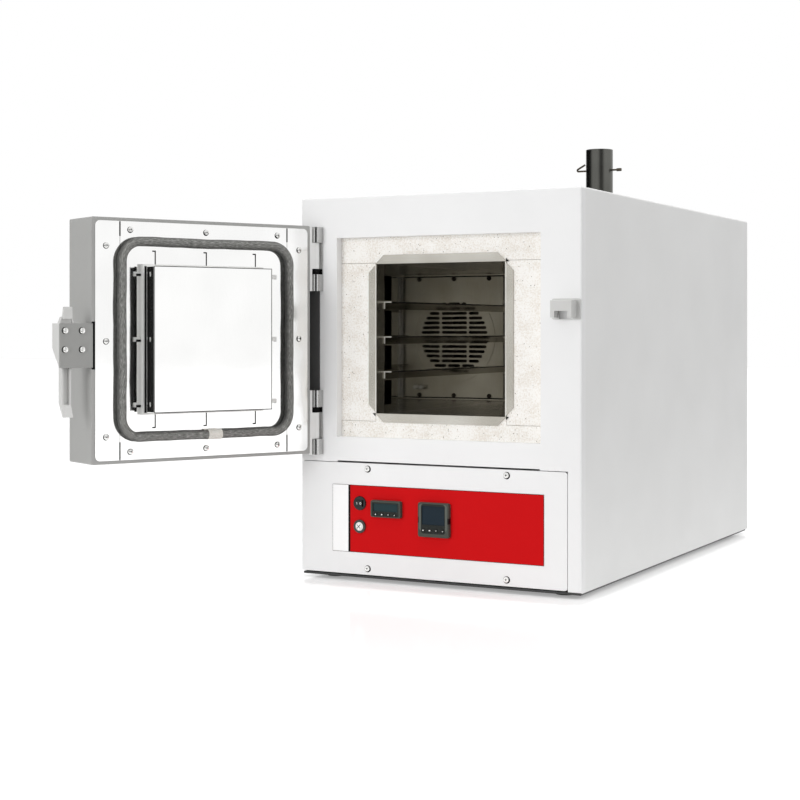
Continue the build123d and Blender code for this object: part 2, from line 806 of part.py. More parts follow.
# Flue tube: round an elbow and out through the top, a collar on the wrap and a groove below the duct's seat
exhaust_bend = flue_y - bulkhead_y - sheet
flue_joint_z = exhaust_z + 2 * exhaust_bend
with BuildPart() as flue_tube:
    with BuildLine() as flue_line:
        FilletPolyline(
            (0, hot_back_y, exhaust_z),
            (0, flue_y, exhaust_z),
            (0, flue_y, flue_joint_z),
            radius=exhaust_bend,
        )
    with BuildSketch(facing_back(hot_back_y, exhaust_z)):
        Circle(flue_radius)
        Circle(flue_radius - flue_wall, mode=Mode.SUBTRACT)
    sweep(path=flue_line.line)
    with BuildSketch(Plane.XY.offset(flue_joint_z)):
        with Locations((0, flue_y)):
            Circle(flue_radius)
            Circle(flue_radius - flue_wall, mode=Mode.SUBTRACT)
    extrude(amount=flue_top_z - flue_joint_z)
    chamfer(flue_tube.edges().group_by(Axis.Z)[-1], flue_wall / 4)
    with BuildSketch(Plane.XY.offset(top_z)):
        with Locations((0, flue_y)):
            Circle(flue_radius + collar_width)
            Circle(flue_radius - flue_wall / 2, mode=Mode.SUBTRACT)
    extrude(amount=collar_thickness)
    with BuildSketch(Plane.XY.offset(flue_top_z - spigot_length - groove_width)):
        with Locations((0, flue_y)):
            Circle(flue_radius + groove_depth)
            Circle(flue_radius - groove_depth, mode=Mode.SUBTRACT)
    extrude(amount=groove_width, mode=Mode.SUBTRACT)
    with Locations(Location((0, flue_y, damper_z), (0, 90, 0))):
        Cylinder(spindle_radius + running_clearance, 3 * flue_radius, mode=Mode.SUBTRACT)
save(flue_tube.part, "flue_tube")

# Damper: wire spindle bent into a handle at its left end, a disc on it inside the flue, a sleeve at its right end
with BuildPart() as damper_spindle:
    with BuildLine() as wire:
        FilletPolyline(
            (knob_reach, flue_y, damper_z),
            (-handle_reach, flue_y, damper_z),
            (-handle_back, flue_y, damper_z + handle_lift),
            radius=spindle_radius * 1.25,
        )
    with BuildSketch(Plane(origin=(knob_reach, flue_y, damper_z), z_dir=(-1, 0, 0))):
        Circle(spindle_radius)
    sweep(path=wire.line)
    with Locations(Location((knob_reach - knob_length / 2, flue_y, damper_z), (0, 90, 0))):
        Cylinder(knob_radius, knob_length)
save(damper_spindle.part, "damper_spindle")

damper_boss = spindle_radius + damper_thickness
with BuildPart() as damper_disc:
    with Locations(Location((0, flue_y, damper_z), (90, 0, 0))):
        Cylinder(flue_radius - flue_wall - damper_clearance, damper_thickness)
    with Locations(Location((0, flue_y, damper_z), (0, 90, 0))):
        Cylinder(damper_boss, 1.4 * flue_radius)
        Cylinder(spindle_radius, 3 * flue_radius, mode=Mode.SUBTRACT)
save(damper_disc.part, "damper_disc")

# Control panel: a pan whose deep left return meets the wrap, with holes for what is mounted in it
panel_back_y = front_y + panel_return
switch_z = base_z + switch_rise
lamp_z = base_z + lamp_rise
case_half_width = bezel_width / 2 - case_inset
instruments = {
    "limit": (
        limit_x,
        base_z + limit_rise,
        bezel_height_unit,
        (limit_window_width, limit_window_height),
        limit_window_lift,
        limit_key_drop,
    ),
    "control": (
        controller_x,
        base_z + controller_rise,
        2 * bezel_height_unit,
        (controller_window_width, controller_window_height),
        controller_window_lift,
        controller_key_drop,
    ),
}


def cut_panel_holes(y_start, y_end):
    """Cut the round and square holes for the switch, lamp and instruments from y_start to y_end."""
    rod_along_y(switch_barrel_radius, y_start, y_end, switch_x, switch_z, mode=Mode.SUBTRACT)
    rod_along_y(switch_barrel_radius, y_start, y_end, switch_x, lamp_z, mode=Mode.SUBTRACT)
    for x, z, height, *_ in instruments.values():
        box_between(
            (x - case_half_width, x + case_half_width),
            (y_start, y_end),
            (z - height / 2 + case_inset, z + height / 2 - case_inset),
            mode=Mode.SUBTRACT,
        )


with BuildPart() as control_panel:
    box_between((-half_width, panel_right), (front_y, panel_back_y), (panel_bottom, panel_top))
    right_corners = control_panel.edges().filter_by(Axis.Y).group_by(Axis.X)[-1]
    fillet(right_corners, panel_corner)
    fillet(control_panel.edges().filter_by(Axis.Z).group_by(Axis.X)[0].sort_by(Axis.Y)[0], wrap_edge_radius)
    box_between(
        (-inner_half_width, panel_right - sheet),
        (front_y + sheet, panel_back_y + sheet),
        (panel_bottom + sheet, panel_top - sheet),
        mode=Mode.SUBTRACT,
    )
    box_between((-half_width, -inner_half_width), (panel_back_y, front_y + front_return), (panel_bottom, panel_top))
    cut_panel_holes(front_y - sheet, front_y + 2 * sheet)
save(control_panel.part, "control_panel")

label_front_y = front_y - label_film
with BuildPart() as fascia_label:
    box_between(
        (label_left, label_right),
        (label_front_y, front_y),
        (base_z + label_bottom_rise, base_z + label_top_rise),
    )
    cut_panel_holes(label_front_y - sheet, front_y + sheet)
save(fascia_label.part, "fascia_label")

# Power switch: round body with a pocket in which the rocker turns
switch_front_y = label_front_y - switch_proud
pivot_y = switch_front_y + rocker_clearance
pocket_radius = rocker_half_width + rocker_clearance
with BuildPart() as power_switch_body:
    rod_along_y(switch_radius, switch_front_y, label_front_y, switch_x, switch_z)
    fillet(power_switch_body.edges().group_by(Axis.Y)[0], switch_proud / 2)
    rod_along_y(switch_barrel_radius, label_front_y, label_front_y + switch_barrel_length, switch_x, switch_z)
    with Locations((switch_x, pivot_y, switch_z)):
        Cylinder(pocket_radius, rocker_height + 2 * rocker_clearance, mode=Mode.SUBTRACT)
save(power_switch_body.part, "power_switch_body")

with BuildPart() as power_rocker:
    with Locations(Location((switch_x, pivot_y, switch_z), (0, 0, -rocker_tilt))):
        Cylinder(rocker_half_width, rocker_height)
        with Locations((0, -rocker_face - rocker_half_width, 0)):
            Box(4 * rocker_half_width, 2 * rocker_half_width, 2 * rocker_height, mode=Mode.SUBTRACT)
save(power_rocker.part, "power_rocker")

# Indicator lamp: metal bezel with its barrel, and a faceted lens
lens_seat = 1.2
with BuildPart() as lamp_bezel:
    rod_along_y(lamp_radius, label_front_y - lamp_proud, label_front_y, switch_x, lamp_z)
    fillet(lamp_bezel.edges().group_by(Axis.Y)[0], lamp_proud / 3)
    rod_along_y(switch_barrel_radius, label_front_y, label_front_y + switch_barrel_length, switch_x, lamp_z)
    rod_along_y(
        lens_radius,
        label_front_y - 2 * lamp_proud,
        label_front_y - lens_seat,
        switch_x,
        lamp_z,
        mode=Mode.SUBTRACT,
    )
save(lamp_bezel.part, "lamp_bezel")

with BuildPart() as lamp_lens:
    rod_along_y(lens_radius, label_front_y - lens_proud, label_front_y - lens_seat, switch_x, lamp_z)
    chamfer(lamp_lens.edges().group_by(Axis.Y)[0], lens_radius / 3)
save(lamp_lens.part, "lamp_lens")

# Instruments: bezels with cases behind the panel, windows set into them and keys in their holes
bezel_front_y = label_front_y - bezel_proud
key_columns = [(index - (keys_per_instrument - 1) / 2) * key_pitch for index in range(keys_per_instrument)]
key_front_y = bezel_front_y - key_proud
key_back_y = key_front_y + key_length
with BuildPart() as instrument_cases:
    for x, z, height, window, lift, key_drop in instruments.values():
        box_between(
            (x - bezel_width / 2, x + bezel_width / 2),
            (bezel_front_y, label_front_y),
            (z - height / 2, z + height / 2),
        )
    fillet(instrument_cases.edges().filter_by(Axis.Y), bezel_corner)
    fillet(instrument_cases.faces().group_by(Axis.Y)[0].edges(), bezel_radius)
    for x, z, height, window, lift, key_drop in instruments.values():
        box_between(
            (x - case_half_width, x + case_half_width),
            (label_front_y, label_front_y + case_depth),
            (z - height / 2 + case_inset, z + height / 2 - case_inset),
        )
        box_between(
            (x - window[0] / 2, x + window[0] / 2),
            (bezel_front_y - sheet, bezel_front_y + 2 * window_recess),
            (z + lift - window[1] / 2, z + lift + window[1] / 2),
            mode=Mode.SUBTRACT,
        )
        for column in key_columns:
            rod_along_y(
                key_radius + key_clearance,
                bezel_front_y - sheet,
                key_back_y + key_travel + key_clearance,
                x + column,
                z - key_drop,
                mode=Mode.SUBTRACT,
            )
save(instrument_cases.part, "instrument_cases")

with BuildPart() as instrument_windows:
    for x, z, height, window, lift, key_drop in instruments.values():
        box_between(
            (x - window[0] / 2, x + window[0] / 2),
            (bezel_front_y + window_recess, bezel_front_y + 2 * window_recess),
            (z + lift - window[1] / 2, z + lift + window[1] / 2),
        )
save(instrument_windows.part, "instrument_windows")

for word, (x, z, height, window, lift, key_drop) in instruments.items():
    for index, column in enumerate(key_columns):
        with BuildPart() as key:
            rod_along_y(key_radius, key_front_y, key_back_y, x + column, z - key_drop)
            fillet(key.edges().filter_by(GeomType.CIRCLE).group_by(Axis.Y)[0], key_proud / 2)
        save(key.part, f"{word}_key_{index + 1}")

# Switchgear on the base tray: contactor, solid-state relay on its heat sink, terminal block
gear_y = front_y + 2.5 * case_depth
gear_floor = base_z + sheet
contactor = (45.0, 75.0, 60.0)
heat_sink = (60.0, 80.0, 34.0)
relay = (45.0, 58.0, 24.0)
terminal = (20.0, 40.0, 34.0)
sink_fins = 9
fin_slot = 3.4
with BuildPart() as switchgear:
    with Locations((switch_x, gear_y, gear_floor)):
        Box(*contactor, align=(Align.CENTER, Align.CENTER, Align.MIN))
        with Locations((0, 0, contactor[2])):
            Box(*(0.6 * side for side in contactor), align=(Align.CENTER, Align.CENTER, Align.MIN))
    with Locations((controller_x, gear_y, gear_floor)):
        Box(*heat_sink, align=(Align.CENTER, Align.CENTER, Align.MIN))
        with GridLocations(heat_sink[0] / sink_fins, 1, sink_fins, 1):
            Box(
                fin_slot,
                2 * heat_sink[1],
                0.75 * heat_sink[2],
                align=(Align.CENTER, Align.CENTER, Align.MIN),
                mode=Mode.SUBTRACT,
            )
        with Locations((0, 0, heat_sink[2])):
            Box(*relay, align=(Align.CENTER, Align.CENTER, Align.MIN))
    with Locations((-switch_x, gear_y, gear_floor)):
        with GridLocations(terminal[0] * 1.15, 1, 4, 1):
            Box(*terminal, align=(Align.CENTER, Align.CENTER, Align.MIN))
            with Locations((0, 0, terminal[2])):
                Cylinder(terminal[0] / 4, terminal[2] / 2, mode=Mode.SUBTRACT)
save(switchgear.part, "switchgear")

# Door: it turns about the hinge axis, and the drawing plane of its parts is turned with it
door_edge_closed_x = -opening_half - door_lap_hinge
hinge_x = door_edge_closed_x - hinge_setback
hinge_y = front_y - hinge_axis_front
axis_out = hinge_axis_front - door_gap
swing = math.radians(-door_open_angle)
door_u = (math.cos(swing), math.sin(swing), 0)
door_out = (math.sin(swing), -math.cos(swing), 0)
door_plane = Plane(
    origin=(
        hinge_x + hinge_setback * door_u[0] - axis_out * door_out[0],
        hinge_y + hinge_setback * door_u[1] - axis_out * door_out[1],
        base_z,
    ),
    x_dir=door_u,
    z_dir=door_out,
)
door_axis = Axis((0, 0, 0), door_out)
door_width = opening_width + door_lap_hinge + door_lap_free
door_bottom = opening_rise - door_lap_bottom
door_top = opening_rise + opening_height + door_lap_top
door_middle = (door_bottom + door_top) / 2
door_height = door_top - door_bottom


def door_box(across, rise, out, mode=Mode.ADD):
    """Add or cut a box on the door's own plane, between pairs across the door, up it and out from it."""
    with Locations((sum(across) / 2, sum(rise) / 2, sum(out) / 2)):
        return Box(across[1] - across[0], rise[1] - rise[0], out[1] - out[0], mode=mode)


def door_side(across):
    """A plane square to the door's width, drawn in heights out from the door and up it, normal to the hinges."""
    return Plane(
        origin=door_plane.from_local_coords((across, 0, 0)),
        x_dir=door_out,
        z_dir=tuple(-part for part in door_u),
    )


def door_rod(radius, place, out, mode=Mode.ADD):
    """Add or cut a round bar square to the door's face, between two heights out from it."""
    with Locations((place[0], place[1], sum(out) / 2)):
        return Cylinder(radius, out[1] - out[0], mode=mode)


def widened(span, amount):
    """The span made longer by the amount at both ends."""
    return (span[0] - amount, span[1] + amount)


bracket_out = (frame_plate, frame_plate + bracket_sheet)
bracket_across = (door_width - bracket_tail, door_width + latch_reach)
bracket_rise = (bracket_bottom_rise, bracket_top_rise)
bracket_notch = (widened(bracket_across, bracket_gap), widened(bracket_rise, bracket_gap), (0, bracket_out[1]))
shell_inside_across = (door_sheet, door_width - door_sheet)
shell_inside_rise = (door_bottom + door_sheet, door_top - door_sheet)
lip_back_out = frame_plate + door_sheet
inside_out = (lip_back_out, door_thickness - door_sheet)
rim = door_sheet + door_lip
window_across = (rim, door_width - rim)
window_rise = (door_bottom + rim, door_top - rim)
with BuildPart(door_plane) as door_shell:
    door_box((0, door_width), (door_bottom, door_top), (frame_plate, door_thickness))
    fillet(door_shell.edges().filter_by(door_axis), door_edge_radius)
    door_box(shell_inside_across, shell_inside_rise, inside_out, mode=Mode.SUBTRACT)
    door_box(window_across, window_rise, (0, lip_back_out), mode=Mode.SUBTRACT)
    door_box(*bracket_notch, mode=Mode.SUBTRACT)
save(door_shell.part, "door_shell")

with BuildPart(door_plane) as door_insulation:
    door_box(shell_inside_across, shell_inside_rise, inside_out)
    door_box(window_across, window_rise, (frame_plate, lip_back_out))
    door_box(*bracket_notch, mode=Mode.SUBTRACT)
save(door_insulation.part, "door_insulation")

# Stainless inner face of the door: four frame plates, and the panel inside the gasket channel
gasket_across = (gasket_inset_hinge, door_width - gasket_inset_free)
gasket_rise = (door_bottom + gasket_inset_bottom, door_top - gasket_inset_top)
gasket_middle = (sum(gasket_across) / 2, sum(gasket_rise) / 2)
gasket_width = gasket_across[1] - gasket_across[0]
gasket_height = gasket_rise[1] - gasket_rise[0]
channel_half = gasket_radius * 0.3
screw_column = gasket_width / 2 - door_screw_inset_column
screw_row = gasket_height / 2 - door_screw_inset_end
screw_columns = [gasket_middle[0] + column for column in (-screw_column, 0, screw_column)]
screw_places = [(u, rise) for u in screw_columns for rise in (door_bottom + door_screw_inset_row, door_top - door_screw_inset_row)]
screw_sides = ((door_screw_inset_hinge, 0), (door_width - door_screw_inset_free, door_screw_free_drop))
screw_places += [(u, gasket_middle[1] + row - drop) for u, drop in screw_sides for row in (-screw_row, 0, screw_row)]
with BuildPart(door_plane) as door_frame_plates:
    with BuildSketch(door_plane):
        with Locations((door_width / 2, door_middle)):
            RectangleRounded(door_width - 2 * plate_margin, door_height - 2 * plate_margin, plate_corner)
        with Locations(gasket_middle):
            RectangleRounded(
                gasket_width + 2 * channel_half,
                gasket_height + 2 * channel_half,
                gasket_corner + channel_half,
                mode=Mode.SUBTRACT,
            )
        for u in gasket_across:
            with Locations((u, door_middle)):
                Rectangle(plate_seam, 2 * door_height, mode=Mode.SUBTRACT)
        for place in screw_places:
            with Locations(place):
                Circle(screw_shank_radius, mode=Mode.SUBTRACT)
    extrude(amount=frame_plate)
save(door_frame_plates.part, "door_frame_plates")

# Plug that fills the chamber mouth: flanged base, narrower core and the box-shaped cover
plug_across = (
    plug_clear_side - chamber_half - door_edge_closed_x,
    chamber_half - plug_clear_side - door_edge_closed_x,
)
plug_rise = (chamber_rise + plug_clear_bottom, chamber_rise + chamber_height - plug_clear_top)
plug_middle = (sum(plug_across) / 2, sum(plug_rise) / 2)
slit_column = (plug_across[1] - plug_across[0]) / 2 - slit_inset
slit_places = [gasket_middle[0] + column for column in (-slit_column, 0, slit_column)]
tab_row = (plug_rise[1] - plug_rise[0]) / 2 - tab_inset
with BuildPart(door_plane) as door_inner_panel:
    with BuildSketch(door_plane):
        with Locations(gasket_middle):
            RectangleRounded(
                gasket_width - 2 * channel_half,
                gasket_height - 2 * channel_half,
                gasket_corner - channel_half,
            )
        for u in slit_places:
            for end, way in ((plug_rise[1], 1), (plug_rise[0], -1)):
                with Locations((u, end + way * slit_length / 2)):
                    Rectangle(slit_width, slit_length, mode=Mode.SUBTRACT)
                with Locations((u + slit_hook / 2, end + way * slit_length)):
                    Rectangle(slit_hook + slit_width, slit_width, mode=Mode.SUBTRACT)
    extrude(amount=frame_plate)
save(door_inner_panel.part, "door_inner_panel")


core_out = -plug_base_depth - plug_core_depth
with BuildPart(door_plane) as plug_base:
    door_box(
        widened(plug_across, plug_base_flange),
        widened(plug_rise, plug_base_flange),
        (-plug_base_depth, 0),
    )
    door_box(
        widened(plug_across, -plug_core_inset),
        widened(plug_rise, -plug_core_inset),
        (core_out, -plug_base_depth),
    )
    for row in (-tab_row, 0, tab_row):
        tab_rise = (plug_middle[1] + row - tab_height / 2, plug_middle[1] + row + tab_height / 2)
        tab_across = (plug_across[0] - tab_offset_hinge, plug_across[1] + tab_offset_free)
        door_box(tab_across, tab_rise, (-2 * plug_sheet, 0))
save(plug_base.part, "plug_base")

with BuildPart(door_plane) as plug_cover:
    door_box(plug_across, plug_rise, (-plug_depth, core_out))
    fillet(plug_cover.edges().filter_by(door_axis), plug_sheet)
    fillet(plug_cover.faces().sort_by(door_axis)[0].edges(), plug_sheet)
save(plug_cover.part, "plug_cover")

# Rope gasket with a gap under its joint sleeve, both flattened where they sit on the door
gasket_out = gasket_seat - gasket_radius
sleeve_u = gasket_middle[0] + sleeve_offset
joint_half = plate_seam
with BuildPart(door_plane) as door_gasket:
    with BuildLine(door_plane.offset(gasket_out)) as gasket_line:
        FilletPolyline(
            (sleeve_u + joint_half, gasket_rise[0]),
            (gasket_across[1], gasket_rise[0]),
            (gasket_across[1], gasket_rise[1]),
            (gasket_across[0], gasket_rise[1]),
            (gasket_across[0], gasket_rise[0]),
            (sleeve_u - joint_half, gasket_rise[0]),
            radius=gasket_corner,
        )
    with BuildSketch(Plane(origin=gasket_line.line @ 0, z_dir=gasket_line.line % 0)):
        Circle(gasket_radius)
    sweep(path=gasket_line.line)
    door_box((0, door_width), (door_bottom, door_top), (0, gasket_radius), mode=Mode.SUBTRACT)
save(door_gasket.part, "door_gasket")

with BuildPart(door_plane) as gasket_sleeve:
    with Locations(Location((sleeve_u, gasket_rise[0], gasket_out), (0, 90, 0))):
        Cylinder(gasket_radius + sleeve_wall, sleeve_length)
        Cylinder(gasket_radius, 2 * sleeve_length, mode=Mode.SUBTRACT)
    door_box((0, door_width), (door_bottom, door_top), (0, 2 * gasket_radius), mode=Mode.SUBTRACT)
save(gasket_sleeve.part, "gasket_sleeve")

# Latch bracket held by four slotted screws, and the screws of the frame plates
bracket_screw_places = [
    (door_width + latch_reach - column, rise) for column in bracket_screw_columns for rise in bracket_screw_rises
]
slot_depth = bracket_screw_head / 2
with BuildPart(door_plane) as door_screws:
    for place in screw_places:
        door_rod(screw_radius, place, (-screw_head, 0))
    fillet(door_screws.faces().group_by(door_axis)[0].edges(), screw_head / 2)
    for place in screw_places:
        door_rod(screw_shank_radius, place, (0, frame_plate))
    for place in bracket_screw_places:
        door_rod(bracket_screw_radius, place, (frame_plate - bracket_screw_head, frame_plate))
        with Locations((place[0], place[1], frame_plate - bracket_screw_head)):
            Box(slot_depth, 3 * bracket_screw_radius, 2 * slot_depth, rotation=(0, 0, place[1]), mode=Mode.SUBTRACT)
save(door_screws.part, "door_screws")

with BuildPart(door_plane) as latch_bracket:
    door_box(bracket_across, bracket_rise, bracket_out)
    free_corners = latch_bracket.edges().filter_by(door_axis).group_by(Axis((0, 0, 0), door_u))[-1]
    fillet(free_corners, bracket_sheet / 3)
save(latch_bracket.part, "latch_bracket")

# Latch body: two cheeks joined by a web behind the lever, with a shoulder each, and the pin
lever_u = door_width + latch_reach - lever_inset
lever_half = lever_width / 2
cheek_inside = lever_half + lever_side_gap
pivot_place = (lever_pivot_out, lever_pivot_rise)
body_bottom = bracket_bottom_rise + frame_plate
body_out = (bracket_out[1], latch_body_depth - latch_web)
body_middle = (body_bottom + bracket_top_rise) / 2
with BuildPart(door_side(lever_u + lever_inset)) as latch_body:
    with BuildSketch(door_side(lever_u + lever_inset)):
        with BuildLine():
            Polyline(
                (bracket_out[1], bracket_top_rise),
                (latch_body_depth, bracket_top_rise),
                (latch_body_depth, latch_taper_rise),
                (bracket_out[1] + frame_plate, body_bottom),
                (bracket_out[1], body_bottom),
                close=True,
            )
        make_face()
    extrude(amount=2 * lever_inset)
    with BuildSketch(door_side(lever_u + cheek_inside)):
        with Locations((sum(body_out) / 2, body_middle)):
            Rectangle(body_out[1] - body_out[0], 4 * (bracket_top_rise - body_middle))
    extrude(amount=2 * cheek_inside, mode=Mode.SUBTRACT)
    with BuildSketch(door_plane.offset(bracket_out[1])):
        for way in (-1, 1):
            with BuildLine():
                Polyline(
                    (lever_u + way * cheek_inside, bracket_top_rise),
                    (lever_u + way * (cheek_inside + latch_shoulder_width), bracket_top_rise),
                    (lever_u + way * cheek_inside, bracket_top_rise + latch_shoulder_height),
                    close=True,
                )
            make_face()
    extrude(amount=latch_shoulder_depth)
    with BuildSketch(door_side(lever_u + lever_inset)):
        with Locations(pivot_place):
            Circle(latch_pin_radius)
    extrude(amount=2 * lever_inset)
save(latch_body.part, "latch_body")

# Latch lever: an eye on the pin, and a handle whose channel is open to the door and whose tip turns in
handle_inner = bracket_out[1] + lever_clearance
handle_outer = handle_inner + handle_depth
handle_tip_inner = handle_tip_gap - door_gap
with BuildPart(door_side(lever_u + lever_half)) as latch_lever:
    with BuildSketch(door_side(lever_u + lever_half)):
        with BuildLine():
            Polyline(
                (handle_inner, lever_top_rise),
                (handle_outer, lever_top_rise),
                (handle_outer, handle_flare_rise + handle_flare_height),
                (handle_tip_inner + handle_tip_depth, lever_bottom_rise),
                (handle_tip_inner, lever_bottom_rise),
                (handle_inner, handle_flare_rise),
                close=True,
            )
        make_face()
        with Locations(pivot_place):
            Circle(lever_eye_radius)
        with Locations(((handle_inner + lever_pivot_out) / 2, lever_pivot_rise)):
            Rectangle(lever_pivot_out - handle_inner, 2 * lever_eye_radius)
        with Locations(pivot_place):
            Circle(latch_pin_radius + running_clearance, mode=Mode.SUBTRACT)
    extrude(amount=lever_width)
    with BuildSketch(door_side(lever_u + lever_half - handle_channel_wall)) as channel:
        with Locations((handle_inner, (handle_flare_rise + handle_channel_top_rise) / 2)):
            Rectangle(2 * handle_channel_depth, handle_channel_top_rise - handle_flare_rise)
        fillet(channel.vertices().group_by(Axis.Y)[0].sort_by(Axis.X)[-1], 0.75 * handle_channel_depth)
    extrude(amount=lever_width - 2 * handle_channel_wall, mode=Mode.SUBTRACT)
    with Locations(door_plane):
        with Locations((lever_u, handle_flare_rise + handle_hole_height, handle_outer)):
            Cylinder(handle_hole_radius, 2 * handle_depth, mode=Mode.SUBTRACT)
save(latch_lever.part, "latch_lever")

# Latch bolt: shank between the cheeks, and a sloping hook that overhangs the bracket's top edge
overhang_rise = bracket_top_rise + bolt_travel + bolt_clearance
bolt_front = strike_wall - door_gap + bolt_clearance
with BuildPart(door_side(lever_u + lever_half)) as latch_bolt:
    with BuildSketch(door_side(lever_u + lever_half)):
        with BuildLine():
            Polyline(
                (bracket_out[1] + bolt_clearance, bolt_bottom_rise),
                (bracket_out[1] + bolt_clearance, overhang_rise),
                (bolt_front, overhang_rise),
                (bolt_front, bolt_top_rise),
                (bolt_front + bolt_tip_depth, bolt_top_rise),
                (bolt_front + bolt_hook_depth, bolt_top_rise - bolt_hook_drop),
                (bolt_front + bolt_neck_depth, bolt_top_rise - bolt_neck_drop),
                (bolt_shank_outer, bracket_top_rise),
                (bolt_shank_outer, bolt_bottom_rise),
                close=True,
            )
        make_face()
    extrude(amount=lever_width)
    fillet(latch_bolt.faces().sort_by(Axis.Z)[-1].edges(), bolt_tip_depth / 4)
    recess_rise = (bracket_top_rise + bolt_clearance, overhang_rise - bolt_clearance)
    recess_across = (lever_u - bolt_recess_width / 2, lever_u + bolt_recess_width / 2)
    with Locations(door_plane):
        door_box(recess_across, recess_rise, (0, bracket_out[1] + bolt_recess_depth), mode=Mode.SUBTRACT)
save(latch_bolt.part, "latch_bolt")

# Strike on the cabinet: hollow hood with a notch for the lever's neck, on a wider base plate
strike_x = door_edge_closed_x + lever_u
strike_z = (base_z + strike_rise, base_z + strike_rise + strike_height)
hood_half = strike_width / 2
notch_half = lever_half + strike_notch_side_gap
strike_front_y = front_y - strike_proud
with BuildPart() as strike:
    box_between((strike_x - hood_half, strike_x + hood_half), (strike_front_y, front_y), strike_z)
    hood_edges = strike.faces().sort_by(Axis.Y)[0].edges()
    fillet(hood_edges.sort_by(Axis.Z)[1:], strike_edge)
    with Locations((strike_x, front_y, sum(strike_z) / 2)):
        Box(
            strike_base_width,
            strike_wall,
            strike_base_height,
            align=(Align.CENTER, Align.MAX, Align.CENTER),
        )
    fillet(strike.edges().filter_by(Axis.Y).filter_by_position(Axis.Y, front_y - strike_wall, front_y), strike_wall)
    box_between(
        (strike_x - hood_half + strike_wall, strike_x + hood_half - strike_wall),
        (strike_front_y + strike_front_wall, front_y - strike_wall),
        (strike_z[0] - strike_base_height, strike_z[1] - strike_wall),
        mode=Mode.SUBTRACT,
    )
    box_between(
        (strike_x - notch_half, strike_x + notch_half),
        (strike_front_y - sheet, strike_front_y + 2 * strike_front_wall),
        (strike_z[0] - sheet, base_z + strike_notch_top_rise),
        mode=Mode.SUBTRACT,
    )
save(strike.part, "strike")

# Hinges: cabinet leaves with two knuckles and a pin each, door leaves with the knuckle between them
door_knuckle_start = long_knuckle + hinge_gap
hinge_height = door_knuckle_start + door_knuckle + short_knuckle
hinges = ((base_z + hinge_bottom_rise + hinge_height, -1), (base_z + hinge_top_rise - hinge_height, 1))
bore_radius = hinge_pin_radius + running_clearance


def knuckle_shape(start, way, first, second):
    """Add one knuckle that is round in front of the hinge axis and square behind it, down to the leaf."""
    low, high = sorted((start + way * first, start + way * second))
    with Locations((hinge_x, hinge_y, (low + high) / 2)):
        Cylinder(knuckle_radius, high - low)
    box_between((hinge_x - knuckle_radius, hinge_x + knuckle_radius), (hinge_y, front_y), (low, high))


with BuildPart() as hinge_cabinet_leaves:
    for start, way in hinges:
        end = start + way * hinge_height
        box_between(
            (hinge_x - knuckle_radius, hinge_x + knuckle_radius),
            (front_y - hinge_leaf_sheet, front_y),
            sorted((start, end)),
        )
        knuckle_shape(start, way, 0, long_knuckle)
        knuckle_shape(start, way, door_knuckle_start + door_knuckle, hinge_height)
    for start, way in hinges:
        with Locations((hinge_x, hinge_y, start + way * hinge_height / 2)):
            Cylinder(hinge_pin_radius, hinge_height - 2 * sheet)
save(hinge_cabinet_leaves.part, "hinge_cabinet_leaves")

leaf_across = (-door_leaf_sheet, 0)
with BuildPart(door_plane) as hinge_door_leaves:
    for start, way in hinges:
        rises = sorted((start - base_z, start + way * hinge_height - base_z))
        door_box(leaf_across, rises, (0, door_leaf_depth))
        knuckle_ends = (door_knuckle_start, door_knuckle_start + door_knuckle - knuckle_clearance)
        knuckle_rises = sorted(start - base_z + way * end for end in knuckle_ends)
        knuckle_middle = (-hinge_setback, sum(knuckle_rises) / 2, axis_out)
        with Locations(Location(knuckle_middle, (90, 0, 0))):
            Cylinder(door_knuckle_radius, knuckle_rises[1] - knuckle_rises[0])
        door_box((-hinge_setback, 0), knuckle_rises, (knuckle_clearance, axis_out + door_knuckle_radius))
        with Locations(Location(knuckle_middle, (90, 0, 0))):
            Cylinder(bore_radius, hinge_height, mode=Mode.SUBTRACT)
save(hinge_door_leaves.part, "hinge_door_leaves")

strip_left = hinge_x - knuckle_radius - hinge_strip_overlap
strip_x = (strip_left, strip_left + hinge_strip_width)
strip_y = (front_y - hinge_strip_sheet, front_y)
with BuildPart() as hinge_strip:
    box_between(strip_x, strip_y, sorted(start for start, way in hinges))
    box_between((strip_left, hinge_x - knuckle_radius), strip_y, sorted(start + way * hinge_height for start, way in hinges))
save(hinge_strip.part, "hinge_strip")
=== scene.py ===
# %% [markdown]
# # A laboratory oven, dressed for the studio
# The part comes in as fixed CAD solids. This lesson gives every surface its real finish, and adds the details
# that a CAD solid leaves out: woven rope, printed film, screw recesses, displays and welds. Some colours and thin
# marks below are painted shade and painted highlights.
# Everything is in metres, with +X to the oven's right, +Y to its back and +Z up.

import math

import bmesh
import bpy
import numpy as np
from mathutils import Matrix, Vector


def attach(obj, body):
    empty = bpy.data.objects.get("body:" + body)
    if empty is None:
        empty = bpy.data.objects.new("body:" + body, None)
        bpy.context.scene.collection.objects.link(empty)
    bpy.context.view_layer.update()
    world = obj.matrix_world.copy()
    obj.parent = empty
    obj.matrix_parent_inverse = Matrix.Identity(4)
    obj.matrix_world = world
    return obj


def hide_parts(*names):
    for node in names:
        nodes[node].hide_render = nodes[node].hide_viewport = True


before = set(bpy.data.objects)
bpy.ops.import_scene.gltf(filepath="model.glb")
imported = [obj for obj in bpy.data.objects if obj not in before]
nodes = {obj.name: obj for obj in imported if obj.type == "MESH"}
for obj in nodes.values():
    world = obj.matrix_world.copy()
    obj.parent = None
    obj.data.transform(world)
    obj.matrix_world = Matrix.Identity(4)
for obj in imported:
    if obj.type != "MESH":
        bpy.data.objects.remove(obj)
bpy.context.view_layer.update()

# %% [markdown]
# Colours are written as the hex values that a screen shows. Blender works in linear light, so one
# function turns each value. A second small function adds a shader node with its settings and links.

